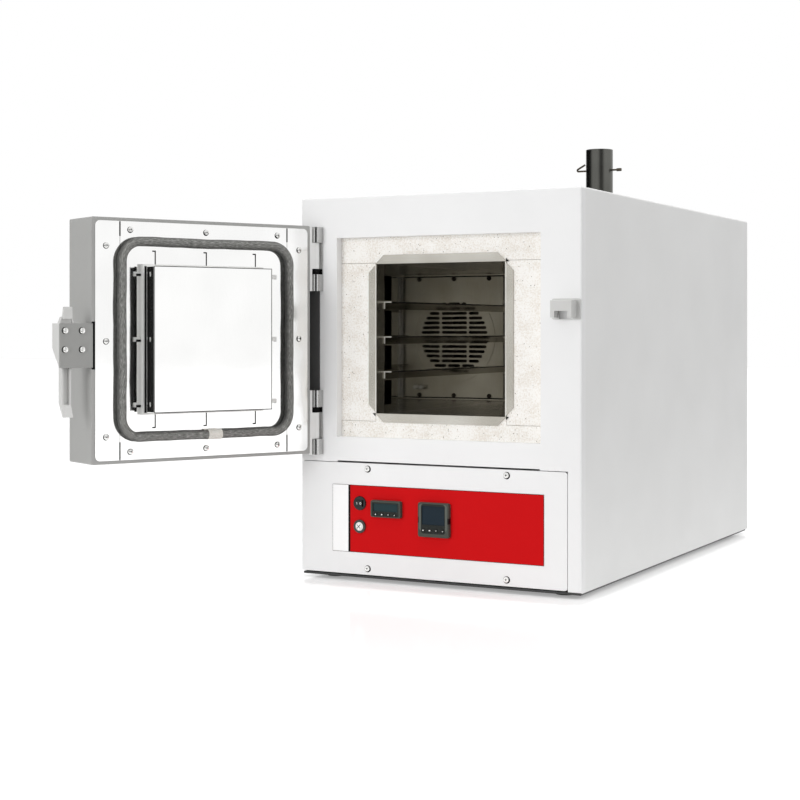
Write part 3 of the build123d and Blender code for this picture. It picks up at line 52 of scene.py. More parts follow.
# %% Two helpers for all materials
def linear(hex_colour):
    """sRGB hex to linear RGBA: below 0.04045 divide by 12.92, above it ((c + 0.055) / 1.055) ** 2.4."""
    parts = np.array([int(hex_colour[i:i + 2], 16) for i in (1, 3, 5)]) / 255
    low = parts / 12.92
    high = ((parts + 0.055) / 1.055) ** 2.4
    return (*np.where(parts <= 0.04045, low, high).tolist(), 1.0)


def add(tree, kind, links=None, **settings):
    """Add one node. links maps an input's name or number to a socket to join or a value to set."""
    made = tree.nodes.new("ShaderNode" + kind)
    for name, value in settings.items():
        setattr(made, name, value)
    for name, value in (links or {}).items():
        if isinstance(value, bpy.types.NodeSocket):
            tree.links.new(value, made.inputs[name])
        else:
            made.inputs[name].default_value = value
    return made


def new_material(name):
    """An empty principled material: returns it with its tree, shader and Object coordinates."""
    made = bpy.data.materials.new(name)
    made.use_nodes = True
    tree = made.node_tree
    shader = tree.nodes["Principled BSDF"]
    place = add(tree, "TexCoord").outputs["Object"]
    return made, tree, shader, place


def ramp(tree, value, stops, interpolation="LINEAR"):
    """A colour ramp from (position, hex colour) stops, driven by a value socket."""
    made = add(tree, "ValToRGB", {"Fac": value})
    made.color_ramp.interpolation = interpolation
    elements = made.color_ramp.elements
    while len(elements) < len(stops):
        elements.new(0.5)
    for element, (position, colour) in zip(elements, stops):
        element.position = position
        element.color = linear(colour)
    return made.outputs["Color"]


def math_node(tree, operation, *values):
    """One arithmetic step on sockets or numbers."""
    return add(tree, "Math", dict(enumerate(values)), operation=operation).outputs[0]


def inside(tree, right, up, centre, half, corner=0.0):
    """1 inside a rounded rectangle, 0 outside: length(max(|p - centre| - half + corner, 0)) < corner."""
    over = [math_node(tree, "SUBTRACT", math_node(tree, "ABSOLUTE", math_node(tree, "SUBTRACT", way, middle)),
                      reach - corner) for way, middle, reach in zip((right, up), centre, half)]
    if not corner:
        return math_node(tree, "LESS_THAN", math_node(tree, "MAXIMUM", *over), 0.0)
    squares = [math_node(tree, "POWER", math_node(tree, "MAXIMUM", way, 0.0), 2.0) for way in over]
    length = math_node(tree, "SQRT", math_node(tree, "ADD", *squares))
    return math_node(tree, "LESS_THAN", length, corner)


def paint(tree, below, mask, colour):
    """Lay a flat colour over what is below it, where the mask is 1."""
    top = linear(colour) if isinstance(colour, str) else colour
    return add(tree, "Mix", {0: mask, 6: below, 7: top}, data_type="RGBA").outputs[2]


def dress(material, *names):
    """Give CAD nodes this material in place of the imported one."""
    for name in names:
        nodes[name].data.materials.clear()
        nodes[name].data.materials.append(material)


mm = 0.001
print("white is", linear("#FFFFFF"))

# %% [markdown]
# New pieces are drawn in arrays. A grid of points becomes a skin of quads, a profile turned round an axis becomes
# a screw head or a ring, and an outline with a thickness becomes a flat mark: print, painted shade or a painted
# highlight. The open door has its own axes: across from its hinge edge, out of its painted face, and up.

# %% Helpers for new pieces
def piece(name, points, faces, material, body, smooth=True, uv=None):
    """A mesh object from points in metres and lists of point numbers, its faces turned outwards."""
    mesh = bpy.data.meshes.new(name)
    mesh.from_pydata(np.reshape(points, (-1, 3)).tolist(), [], [list(face) for face in faces])
    if uv is not None:
        corner = np.zeros(len(mesh.loops), dtype=int)
        mesh.loops.foreach_get("vertex_index", corner)
        mesh.uv_layers.new(name="along").data.foreach_set("uv", np.reshape(uv, (-1, 2))[corner].ravel())
    shell = bmesh.new()
    shell.from_mesh(mesh)
    bmesh.ops.remove_doubles(shell, verts=shell.verts, dist=1e-7)
    bmesh.ops.recalc_face_normals(shell, faces=shell.faces)
    shell.to_mesh(mesh)
    shell.free()
    mesh.polygons.foreach_set("use_smooth", [smooth] * len(mesh.polygons))
    mesh.materials.append(material)
    made = bpy.data.objects.new(name, mesh)
    bpy.context.scene.collection.objects.link(made)
    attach(made, body)
    return made


def quads(rows, columns, closed_rows=False):
    """Quads of a grid whose columns close on themselves: each joins four neighbouring points."""
    row = np.arange(rows if closed_rows else rows - 1)[:, None]
    column = np.arange(columns)[None, :]
    beside, above = (column + 1) % columns, (row + 1) % rows
    return np.stack([row * columns + column, row * columns + beside,
                     above * columns + beside, above * columns + column], axis=-1).reshape(-1, 4)


def turned(places, axis, profile, steps=24):
    """One turned shape per place: centre + height * axis + radius * (cos a, sin a) on the axis's plane."""
    axis = np.asarray(axis, dtype=float)
    side = np.cross(axis, (0, 0, 1) if abs(axis[2]) < 0.9 else (1, 0, 0))
    side /= np.linalg.norm(side)
    other = np.cross(axis, side)
    angle = np.linspace(0, 2 * np.pi, steps, endpoint=False)
    ring = np.cos(angle)[:, None] * side + np.sin(angle)[:, None] * other
    profile = np.asarray(profile) * mm
    one = profile[:, 1, None, None] * axis + profile[:, 0, None, None] * ring[None]
    points = np.concatenate([(one + np.asarray(place)).reshape(-1, 3) for place in places])
    single = quads(len(profile), steps)
    faces = np.concatenate([single + number * len(profile) * steps for number in range(len(places))])
    return points, faces


def slabs(outlines, right, up, out, thickness):
    """Flat marks: each (place, outline) is drawn on the plane of right and up and thickened along out."""
    right, up, out = (np.asarray(way, dtype=float) for way in (right, up, out))
    points, faces, first = [], [], 0
    for place, outline in outlines:
        flat = np.asarray(outline, dtype=float) * mm
        low = np.asarray(place) + flat[:, :1] * right + flat[:, 1:] * up
        points += [low, low + thickness * mm * out]
        count = len(flat)
        ring = np.arange(count)
        faces += [list(first + ring[::-1]), list(first + count + ring)]
        faces += np.stack([first + ring, first + (ring + 1) % count,
                           first + count + (ring + 1) % count, first + count + ring], axis=-1).tolist()
        first += 2 * count
    return np.concatenate(points), faces


def oblong(half_width, half_height):
    """The outline of a rectangle about its middle, in millimetres."""
    return [(-half_width, -half_height), (half_width, -half_height),
            (half_width, half_height), (-half_width, half_height)]


def marks(name, outlines, right, out, thickness, material, body):
    """One piece of flat upright marks: slabs whose outlines stand on the plane of right and up."""
    points, faces = slabs(outlines, right, (0, 0, 1), out, thickness)
    return piece(name, points, faces, material, body, smooth=False)


def spots(*rows):
    """Places in metres from rows of x, y and z in millimetres."""
    return [np.array(row, dtype=float) * mm for row in rows]


def on_door(across, out, rise):
    """Open door to world: origin + across * (-0.4415, -0.8973, 0) + out * (-0.8973, 0.4415, 0) + rise up."""
    across, out, rise = np.broadcast_arrays(across, out, rise)
    origin = np.array([-189.262, -416.779, 8.0])
    flat = across[..., None] * door_along + out[..., None] * door_out + rise[..., None] * np.array([0, 0, 1])
    return (origin + flat) * mm


door_angle = math.radians(-116.2)
door_along = np.array([math.cos(door_angle), math.sin(door_angle), 0])
door_out = np.array([math.sin(door_angle), -math.cos(door_angle), 0])
print("door's free edge is at", on_door(338.0, 0.0, 0.0).round(3))

# %% [markdown]
# ## Camera
# The camera stands 2.6 m away at the height of the door's middle, level, and looks a little to the
# left. Its lens is shifted downwards as an architect's camera is, so upright edges stay upright.

# %% Camera at the photograph's viewpoint
camera = bpy.data.objects.new("camera", bpy.data.cameras.new("camera"))
bpy.context.scene.collection.objects.link(camera)
camera.location = (0.99584, -2.37713, 0.35815)
camera.rotation_euler = (math.radians(90), 0, math.radians(27.94))
camera.data.sensor_width = 36.0
camera.data.lens = 71.97
camera.data.shift_y = -0.0883
camera.data.clip_start = 0.05
bpy.context.scene.camera = camera
print("camera at", tuple(round(v, 3) for v in camera.location))

# %% [markdown]
# ## Studio
# A product shot on white: a pale sweep under and behind the oven, and large soft lamps. The backdrop
# is white because its own material is white to the camera and to reflections, not because more light
# falls on the oven. Two black flags stand in the reflections only, one on the far left and one behind
# the camera. Without them bright metal on white would have no edges.

# %% World with its flags
def reach(tree, place, aim, begin, end, first=0.0, last=1.0):
    """How far a place or a direction lies along aim, turned from begin..end into first..last."""
    along = add(tree, "VectorMath", {0: place, 1: aim}, operation="DOT_PRODUCT").outputs["Value"]
    return add(tree, "MapRange", {0: along, 1: begin, 2: end, 3: first, 4: last}).outputs[0]


to_left, to_right = (-1.0, 0.0, 0.0), (1.0, 0.0, 0.0)
to_back, across_back = (0.6, -0.8, 0.0), (0.8, 0.6, 0.0)
flag_black = "#1C1C1C"
fill_light = 0.58

world = bpy.data.worlds.new("studio_world")
bpy.context.scene.world = world
world.use_nodes = True
tree = world.node_tree
path = add(tree, "LightPath").outputs
seen = math_node(tree, "MAXIMUM", path["Is Camera Ray"], path["Is Glossy Ray"])
seen = math_node(tree, "MAXIMUM", seen, path["Is Transmission Ray"])
strength = add(tree, "Mix", {0: seen, 2: fill_light, 3: 1.0}).outputs[0]
tree.links.new(strength, tree.nodes["Background"].inputs["Strength"])
way = add(tree, "TexCoord").outputs["Generated"]
flags = math_node(tree, "MAXIMUM", reach(tree, way, to_left, 0.72, 0.84), reach(tree, way, to_back, 0.92, 0.96))
flags = math_node(tree, "MULTIPLY", flags, path["Is Glossy Ray"])
tree.links.new(paint(tree, (1, 1, 1, 1), flags, flag_black), tree.nodes["Background"].inputs["Color"])
print("fill light from all round:", fill_light)

# %% [markdown]
# The floor is one glossy white plane. From the photograph's place its far edge melts into the white
# behind it, while from above it greys where the lamps don't reach. In reflections it goes
# black where the two flags stand on it, so a flag doesn't end at the horizon. On the right it is grey
# to bounced light only, as a grey card is, to take some of that light off the cabinet's side.

# %% Floor
bpy.ops.mesh.primitive_plane_add(size=24, location=(0, 0, 0))
floor = bpy.context.object
floor.name = "floor"
made, tree, shader, place = new_material("glossy_white_sweep")
path = add(tree, "LightPath").outputs
shader.inputs["Roughness"].default_value = 0.13
shader.inputs["Specular IOR Level"].default_value = 0.22
shader.inputs["Emission Color"].default_value = (1, 1, 1, 1)
flag_begins, flag_full = 1.1, 1.6
side_flag = reach(tree, place, to_left, flag_begins, flag_full)
back_flag = reach(tree, place, to_back, flag_begins, flag_full)
back_flag = math_node(tree, "MULTIPLY", back_flag, reach(tree, place, across_back, 0.4, 0.8, 1.0, 0.0))
flags = math_node(tree, "MAXIMUM", side_flag, back_flag)
flags = math_node(tree, "MULTIPLY", flags, path["Is Glossy Ray"])
card = math_node(tree, "MULTIPLY", reach(tree, place, to_right, 0.25, 0.60), path["Is Diffuse Ray"])
tone = paint(tree, linear("#F4F4F4"), card, "#868686")
tree.links.new(paint(tree, tone, flags, flag_black), shader.inputs["Base Color"])
seen = math_node(tree, "MAXIMUM", path["Is Camera Ray"], path["Is Glossy Ray"])
glow = math_node(tree, "MULTIPLY", math_node(tree, "SUBTRACT", seen, flags), 0.30)
tree.links.new(glow, shader.inputs["Emission Strength"])
floor.data.materials.append(made)
print("floor is", floor.dimensions.x, "m wide")

# %% [markdown]
# Three soft boxes light the oven: the strongest low in front, the widest overhead, one on the right.
# Polished metal would show them as bright squares, so reflections don't see them.

# %% Lamps
def softbox(name, place, aim, size, power):
    """A square area lamp of the given side at a place, turned to its aim: power in watts in all."""
    lamp = bpy.data.objects.new(name, bpy.data.lights.new(name, "AREA"))
    bpy.context.scene.collection.objects.link(lamp)
    lamp.location = place
    lamp.rotation_euler = (Vector(aim) - Vector(place)).to_track_quat("-Z", "Y").to_euler()
    lamp.data.size = size
    lamp.data.energy = power
    lamp.visible_glossy = False


softbox("lamp_front", (-1.1, -3.4, 0.95), (0, -0.3, 0.2), 1.6, 41)
softbox("lamp_overhead", (0.2, -0.2, 3.0), (0, 0, 0.3), 2.4, 30)
softbox("lamp_right", (3.0, -0.2, 2.4), (0.2, 0, 0.5), 1.6, 26)
bpy.context.scene.view_settings.view_transform = "Standard"

# %% [markdown]
# ## Painted sheet
# The cabinet is folded steel with an epoxy powder coat. Melted powder leaves a faint orange peel about
# a millimetre wide, so the shader has a soft bump at that scale, and its gloss drifts a little.

# %% Powder coats
def powder_coat(name, colour, shade, roughness, peel=1.1 * mm):
    """Powder coat: two close tones mixed by slow noise, with an orange-peel bump of the given width."""
    made, tree, shader, place = new_material(name)
    drift = add(tree, "TexNoise", {"Vector": place, "Scale": 9.0, "Detail": 3.0}).outputs["Fac"]
    tone = ramp(tree, drift, [(0.35, colour), (0.7, shade)])
    tree.links.new(tone, shader.inputs["Base Color"])
    fine = add(tree, "TexNoise", {"Vector": place, "Scale": 1 / peel, "Detail": 2.0}).outputs["Fac"]
    bump = add(tree, "Bump", {"Height": fine, "Strength": 0.10, "Distance": 0.04 * mm}).outputs[0]
    tree.links.new(bump, shader.inputs["Normal"])
    gloss = add(tree, "MapRange", {0: drift, 3: roughness - 0.05, 4: roughness + 0.05}).outputs[0]
    tree.links.new(gloss, shader.inputs["Roughness"])
    shader.inputs["IOR"].default_value = 1.5
    return made


front_coat = powder_coat("pale_grey_powder_coat_front", "#F3F3F3", "#F0F0F0", 0.42)
# The sides and back wear a copy of the front's coat a shade darker: painted shade, since the cabinet is one
# paint.
shaded_wrap_coat = powder_coat("pale_grey_powder_coat_wrap_shaded", "#EFEFEE", "#ECECEB", 0.42)
door_coat = powder_coat("mid_grey_powder_coat", "#A9A9A7", "#A5A5A3", 0.40)
bracket_coat = powder_coat("bracket_grey_powder_coat", "#9C9C9A", "#979795", 0.42)
base_coat = powder_coat("dark_grey_powder_coat", "#3A3A3A", "#353535", 0.5)
dress(front_coat, "front_panel", "control_panel")
dress(shaded_wrap_coat, "outer_wrap", "rear_panel")
dress(door_coat, "door_shell")
dress(bracket_coat, "latch_bracket")
dress(base_coat, "base_tray")
print("powder coats dressed")

# %% [markdown]
# ## Stainless sheet
# The door's inner face, the plug and the chamber are stainless sheet. A rolled sheet mirrors like
# still water with slow swells in it, because thin metal is never quite flat. Heat gives the chamber
# and its mouth a straw tint. The plug's base is blasted dull. It is drawn as a pale satin coat, because
# bare metal on that side would mirror nothing but a black flag.

# %% Stainless steels
def stainless(name, light, dark, roughness, way=(1, 1, 40), spread=0.03, swell=0.0, grain=0.35 * mm):
    """Rolled or linished sheet: tones in grain lines stretched along one axis, over slow swells."""
    made, tree, shader, place = new_material(name)
    stretch = [1.0 if part == 1 else 1 / part for part in way]
    lines = add(tree, "Mapping", {"Vector": place, "Scale": tuple(stretch)}).outputs[0]
    grain_noise = add(tree, "TexNoise", {"Vector": lines, "Scale": 1 / grain, "Detail": 3.0}).outputs["Fac"]
    slow = add(tree, "TexNoise", {"Vector": place, "Scale": 1 / (70 * mm), "Detail": 1.0}).outputs["Fac"]
    both = add(tree, "Mix", {0: 0.35, 2: slow, 3: grain_noise}).outputs[0]
    tone = ramp(tree, both, [(0.35, dark), (0.65, light)])
    tree.links.new(tone, shader.inputs["Base Color"])
    rough = add(tree, "MapRange", {0: grain_noise, 3: roughness - spread, 4: roughness + spread}).outputs[0]
    tree.links.new(rough, shader.inputs["Roughness"])
    fine = add(tree, "Bump", {"Height": grain_noise, "Strength": 0.08, "Distance": 0.02 * mm}).outputs[0]
    waves = add(tree, "Bump", {"Height": slow, "Strength": 1.0, "Distance": swell, "Normal": fine}).outputs[0]
    tree.links.new(waves, shader.inputs["Normal"])
    shader.inputs["Metallic"].default_value = 1.0
    return made


door_steel = stainless("linished_stainless_sheet", "#FDFDFC", "#F6F6F5", 0.08, swell=1.2 * mm)
plug_steel = stainless("bright_rolled_stainless", "#FEFEFD", "#F8F8F7", 0.06, swell=0.15 * mm)
mouth_steel = stainless("straw_tinted_stainless", "#D6D3CB", "#BEBAB0", 0.26, way=(1, 40, 1), swell=1.2 * mm)
guide_steel = stainless("mirror_polished_stainless", "#D0CEC9", "#C6C4BD", 0.03, spread=0.005, swell=0.1 * mm)
baffle_steel = stainless("heat_browned_stainless", "#CCC8BC", "#B4AFA2", 0.38, swell=0.8 * mm)
dark_steel = stainless("oxidised_sheath_and_slot_shade", "#4A443E", "#2E2A27", 0.5)
tube_steel = stainless("dull_rolled_tube_steel", "#6A6A66", "#5A5A56", 0.30, way=(1, 1, 60))
wire_steel = stainless("browned_spring_wire", "#5C554A", "#443E36", 0.32)
rim_steel = powder_coat("bead_blasted_stainless", "#F2F2F0", "#EAEAE8", 0.35)
runner_steel = stainless("dull_runner_stainless", "#8C887E", "#7C786E", 0.10, swell=0.3 * mm)
dress(door_steel, "door_frame_plates", "door_inner_panel")
dress(plug_steel, "plug_cover")
dress(rim_steel, "plug_base")
dress(mouth_steel, "chamber_liner")
dress(guide_steel, "air_guides")
dress(runner_steel, "shelf_runners")
dress(baffle_steel, "rear_baffle")
# The impeller shows only through the baffle's slots. Its dark oxide is also painted shade, which keeps the slots
# dark.
dress(dark_steel, "baffle_screws", "heating_elements", "impeller")
dress(tube_steel, "flue_tube", "damper_disc")
dress(wire_steel, "damper_spindle")
print("stainless dressed")

# %% [markdown]
# ## Smaller metals
# Screws are plated steel, the latch and strike are castings under a silver-grey lacquer, and the
# hidden plates are galvanised, with the spangle that zinc crystals leave.

# %% Screws, castings and galvanised plate
def plain_metal(name, light, dark, roughness, grain):
    """Cast or plated metal: tone and bump from one noise as wide as its grain."""
    made, tree, shader, place = new_material(name)
    noise = add(tree, "TexNoise", {"Vector": place, "Scale": 1 / grain, "Detail": 4.0}).outputs["Fac"]
    tree.links.new(ramp(tree, noise, [(0.3, dark), (0.7, light)]), shader.inputs["Base Color"])
    bump = add(tree, "Bump", {"Height": noise, "Strength": 0.15, "Distance": 0.05 * mm}).outputs[0]
    tree.links.new(bump, shader.inputs["Normal"])
    shader.inputs["Metallic"].default_value = 1.0
    shader.inputs["Roughness"].default_value = roughness
    return made


def galvanised(name, spangle=9 * mm):
    """Zinc spangle: cells of the given width, each with its own tone."""
    made, tree, shader, place = new_material(name)
    cells = add(tree, "TexVoronoi", {"Vector": place, "Scale": 1 / spangle}).outputs["Color"]
    grey = add(tree, "RGBToBW", {0: cells}).outputs[0]
    tree.links.new(ramp(tree, grey, [(0.0, "#8E9194"), (1.0, "#B4B7B9")]), shader.inputs["Base Color"])
    shader.inputs["Metallic"].default_value = 1.0
    shader.inputs["Roughness"].default_value = 0.42
    return made


plated = plain_metal("bright_plated_screw_steel", "#F4F4F2", "#DCDCDA", 0.16, 1.0 * mm)
casting = powder_coat("silver_lacquered_casting", "#D2D2D0", "#CACAC8", 0.30)
hinge_grey = plain_metal("bright_turned_hinge_steel", "#C9C9C8", "#B4B4B3", 0.16, 1.0 * mm)
hinge_white = powder_coat("white_painted_hinge_steel", "#EDEDEC", "#E8E8E7", 0.40)
dress(plated, "cabinet_screws", "fan_shaft", "shaft_bearing", "thermocouples")
dress(casting, "latch_body", "latch_lever", "latch_bolt", "strike", "cooling_fan")
dress(hinge_grey, "hinge_cabinet_leaves")
dress(hinge_white, "hinge_door_leaves")
dress(galvanised("spangled_galvanised_sheet"), "divider_plate", "bulkhead")
dress(powder_coat("motor_enamel", "#3B4148", "#33383E", 0.45), "motor")
print("metals dressed")

# %% [markdown]
# ## Ceramic fibre and refractory board
# The boards round the chamber mouth are pressed ceramic fibre, chalky and off-white. Dark flecks of
# unmelted slag show all over them, most under a millimetre wide, and small pits catch the light.

# %% Fibre board and blanket
def fibre(name, pale, warm, fleck_size, fleck_colour):
    """Pressed fibre: warm drifts, flecks where small cells fall below a threshold, and pits."""
    made, tree, shader, place = new_material(name)
    drift = add(tree, "TexNoise", {"Vector": place, "Scale": 1 / (25 * mm), "Detail": 3.0}).outputs["Fac"]
    mottle = add(tree, "TexNoise", {"Vector": place, "Scale": 1 / (2.2 * mm), "Detail": 3.0}).outputs["Fac"]
    both = add(tree, "Mix", {0: 0.65, 2: drift, 3: mottle}).outputs[0]
    body = ramp(tree, both, [(0.38, warm), (0.55, pale)])
    cells = add(tree, "TexVoronoi", {"Vector": place, "Scale": 1 / fleck_size}).outputs
    chance = add(tree, "RGBToBW", {0: cells["Color"]}).outputs[0]
    core = math_node(tree, "LESS_THAN", cells["Distance"], 0.34)
    rare = math_node(tree, "LESS_THAN", chance, 0.24)
    fleck = math_node(tree, "MULTIPLY", core, rare)
    tree.links.new(paint(tree, body, fleck, fleck_colour), shader.inputs["Base Color"])
    pits = add(tree, "TexNoise", {"Vector": place, "Scale": 1 / (1.2 * mm), "Detail": 3.0}).outputs["Fac"]
    bump = add(tree, "Bump", {"Height": pits, "Strength": 0.5, "Distance": 0.3 * mm}).outputs[0]
    tree.links.new(bump, shader.inputs["Normal"])
    shader.inputs["Roughness"].default_value = 0.95
    shader.inputs["Specular IOR Level"].default_value = 0.2
    return made


dress(fibre("flecked_refractory_board", "#FBF9F5", "#E9E3DA", 2.6 * mm, "#8A8177"), "refractory_boards")
dress(fibre("ceramic_fibre_blanket", "#F1EDE4", "#E6E0D3", 4.0 * mm, "#D8D0C2"), "chamber_insulation")
# The door's blanket shows only through the slits in its plates. It is dark grey fibre, painted darker still as
# the shade inside the slits.
dress(fibre("grey_door_blanket_and_slit_shade", "#2C2A28", "#22201F", 4.0 * mm, "#3A3836"), "door_insulation")
print("fibre dressed")

# %% [markdown]
# ## Plastics, film and glass
# The controls are moulded plastic, and the film round them is printed. Moulded cases have a fine spark
# texture, keys are softer and duller, and the display windows are smoked and smooth.

# %% Plastics and film
def moulded(name, colour, shade, roughness, grain=0.4 * mm, shine=0.5):
    """Moulded plastic: a spark-eroded grain as bump, and a faint change of tone with it."""
    made, tree, shader, place = new_material(name)
    noise = add(tree, "TexNoise", {"Vector": place, "Scale": 1 / grain, "Detail": 2.0}).outputs["Fac"]
    tree.links.new(ramp(tree, noise, [(0.3, shade), (0.7, colour)]), shader.inputs["Base Color"])
    bump = add(tree, "Bump", {"Height": noise, "Strength": 0.12, "Distance": 0.03 * mm}).outputs[0]
    tree.links.new(bump, shader.inputs["Normal"])
    shader.inputs["Roughness"].default_value = roughness
    shader.inputs["Specular IOR Level"].default_value = shine
    return made


key_grey = moulded("moulded_key_grey", "#2A2C2A", "#222422", 0.45, shine=0.15)
switch_black = moulded("moulded_gloss_black", "#1C1C1C", "#141414", 0.16, shine=0.35)
print_white = moulded("white_printing_ink", "#F2F2F0", "#ECECEA", 0.5)
recess_black = moulded("shadowed_recess", "#141414", "#0E0E0E", 0.7, shine=0.1)
dress(key_grey, *[f"{kind}_key_{i}" for kind in ("limit", "control") for i in range(1, 5)])
dress(switch_black, "power_switch_body", "power_rocker")
dress(moulded("black_cable_gland_nylon", "#1B1B1B", "#151515", 0.5), "cable_gland")
dress(moulded("switchgear_plastic", "#4A4D50", "#44474A", 0.5), "switchgear")
dress(moulded("black_foot_rubber", "#1C1C1C", "#171717", 0.8), "feet")
dress(moulded("dark_strip_plastic", "#505050", "#444444", 0.4), "hinge_strip")
print("plastics dressed")

# %% [markdown]
# The fascia is one film printed from behind: a plain white strip, a black line and a red field, with
# a thin dark border along its edges. The mask nodes measure each printed shape in real millimetres.

# %% Printed fascia film
def printable(name, colour, shade, roughness, shine):
    """A moulded material to print on: returns it with its tree, shader, X and Z sockets and tone so far."""
    made = moulded(name, colour, shade, roughness, shine=shine)
    tree, shader = made.node_tree, made.node_tree.nodes["Principled BSDF"]
    where = add(tree, "SeparateXYZ", {0: add(tree, "TexCoord").outputs["Object"]}).outputs
    return made, tree, shader, where["X"], where["Z"], shader.inputs["Base Color"].links[0].from_socket


made, tree, shader, right, up, tone = printable("printed_fascia_film", "#CC1216", "#C91014", 0.35, 0.06)
film_z = 88.85 * mm
field = inside(tree, right, up, (-0.7 * mm, film_z), (163.0 * mm, 47.15 * mm))
black_line = inside(tree, right, up, (-136.8 * mm, film_z), (1.7 * mm, 48.0 * mm))
white_strip = inside(tree, right, up, (-151.25 * mm, film_z), (12.75 * mm, 47.4 * mm))
tone = paint(tree, linear("#3A1A1A"), field, tone)
tone = paint(tree, tone, black_line, "#121212")
tone = paint(tree, tone, white_strip, "#FFFFFF")
tree.links.new(tone, shader.inputs["Base Color"])
dress(made, "fascia_label")
print("film dressed")

# %% [markdown]
# The two instruments share a moulded grey bezel round a near-black front panel. A controller of this size has a
# window, a row of four keys and two small side clips. The clips show as black notches of painted shade, and
# lighter strips down the bezel's curved sides are a painted highlight.

# %% Instruments
made, tree, shader, right, up, tone = printable("moulded_instrument_grey", "#4C4F49", "#454842", 0.42, 0.15)
control_x, limit_x = -0.2 * mm, -75.5 * mm
off_middle = math_node(tree, "ABSOLUTE", math_node(tree, "SUBTRACT", right, control_x))
# Painted highlight down the bezel's sides, then painted shade in the side notches.
bezel_side_highlight = inside(tree, right, up, (control_x, 97.5 * mm), (21.6 * mm, 18.5 * mm), 4.0 * mm)
front = inside(tree, right, up, (control_x, 95.5 * mm), (18.6 * mm, 20.5 * mm), 4.0 * mm)
side_notch_shade = inside(tree, off_middle, up, (23.6 * mm, 93.5 * mm), (1.4 * mm, 4.0 * mm))
low_front = inside(tree, right, up, (limit_x, 104.7 * mm), (21.4 * mm, 9.8 * mm), 1.5 * mm)
for mask, colour in ((bezel_side_highlight, "#5E625C"), (front, "#262927"), (side_notch_shade, "#101010"), (low_front, "#2A2D2A")):
    tone = paint(tree, tone, mask, colour)
tree.links.new(tone, shader.inputs["Base Color"])
dress(made, "instrument_cases")

made, tree, shader, right, _, tone = printable("smoked_display_window", "#23393D", "#20363A", 0.14, 0.12)
large_window = math_node(tree, "GREATER_THAN", right, -40.0 * mm)
tree.links.new(paint(tree, tone, large_window, "#1A2832"), shader.inputs["Base Color"])
dress(made, "instrument_windows")
print("instruments dressed")

# %% [markdown]
# Each key carries a small white sign, printed on it, so the sign rides on the key's own body: a dot
# for the menu, a page, an arrow down and an arrow up, the same four on both instruments.

# %% Signs on the keys
def ring_outline(radius, steps):
    """A regular outline of the given radius: (cos a, sin a) in equal steps."""
    turn = np.linspace(0, 2 * np.pi, steps, endpoint=False)
    return radius * np.stack([np.cos(turn), np.sin(turn)], axis=1)


signs = {1: ring_outline(0.85, 14), 2: oblong(1.0, 0.8),
         3: [(-0.9, 0.6), (0, -0.7), (0.9, 0.6)], 4: [(-0.9, -0.6), (0.9, -0.6), (0, 0.7)]}
keys = {"limit": (-75.5, 97.6), "control": (-0.2, 79.5)}
key_pitch, sign_y = 10.0, -402.83
for kind, (middle, height) in keys.items():
    for number, outline in signs.items():
        place = spots((middle + key_pitch * (number - 2.5), sign_y, height))[0]
        marks(f"{kind}_sign_{number}", [(place, outline)], (1, 0, 0), (0, 1, 0), 0.2,
              print_white, f"{kind}_key_{number}")
print("signs on keys:", len(keys) * len(signs))

# %% [markdown]
# The lamp is a pale lens in a dark ring, and the dark cross where its facets meet is painted shade. The rocker
# carries the two usual marks, a short dash and a ring. It stands tilted by eight degrees, and its marks lie on
# its tilted face.

# %% Lamp and rocker marks
made, tree, shader, place = new_material("faceted_lamp_lens")
where = add(tree, "SeparateXYZ", {0: place}).outputs
lamp_x, lamp_z, lens_reach, facet_shade_width = -119.4 * mm, 78.3 * mm, 5.6 * mm, 0.8 * mm
right = math_node(tree, "ABSOLUTE", math_node(tree, "SUBTRACT", where["X"], lamp_x))
up = math_node(tree, "ABSOLUTE", math_node(tree, "SUBTRACT", where["Z"], lamp_z))
gap = math_node(tree, "ABSOLUTE", math_node(tree, "SUBTRACT", right, up))
near = math_node(tree, "LESS_THAN", math_node(tree, "ADD", right, up), lens_reach)
cross = math_node(tree, "MULTIPLY", math_node(tree, "LESS_THAN", gap, facet_shade_width), near)
tree.links.new(paint(tree, linear("#FAFAF8"), cross, "#3A3A38"), shader.inputs["Base Color"])
shader.inputs["Roughness"].default_value = 0.12
shader.inputs["Coat Weight"].default_value = 0.5
dress(made, "lamp_lens")
dress(moulded("dark_lamp_ring", "#3C3C3A", "#2E2E2C", 0.25), "lamp_bezel")

tilt = math.radians(8.0)
along_rocker = (math.cos(tilt), -math.sin(tilt), 0)
off_rocker = (-math.sin(tilt), -math.cos(tilt), 0)
rocker_z, ink = 111.2, 0.06
dash_place, ring_place, ring_middle = spots((-122.6, -399.12, rocker_z), (-116.4, -399.99, rocker_z),
                                            (-116.4, -400.05, rocker_z))
marks("rocker_marks", [(dash_place, oblong(0.35, 1.6)), (ring_place, ring_outline(1.6, 18))],
      along_rocker, off_rocker, ink, print_white, "power_rocker")
marks("rocker_ring_centre", [(ring_middle, ring_outline(0.9, 18))],
      along_rocker, off_rocker, ink, switch_black, "power_rocker")
print("lamp and rocker dressed")

# %% [markdown]
# ## Rope gasket
# The door's seal is a braided rope over a wire core. Its skin is a tube round a path in the door's
# plane: a rounded rectangle that wanders a little, with ridges that run along it like strands.

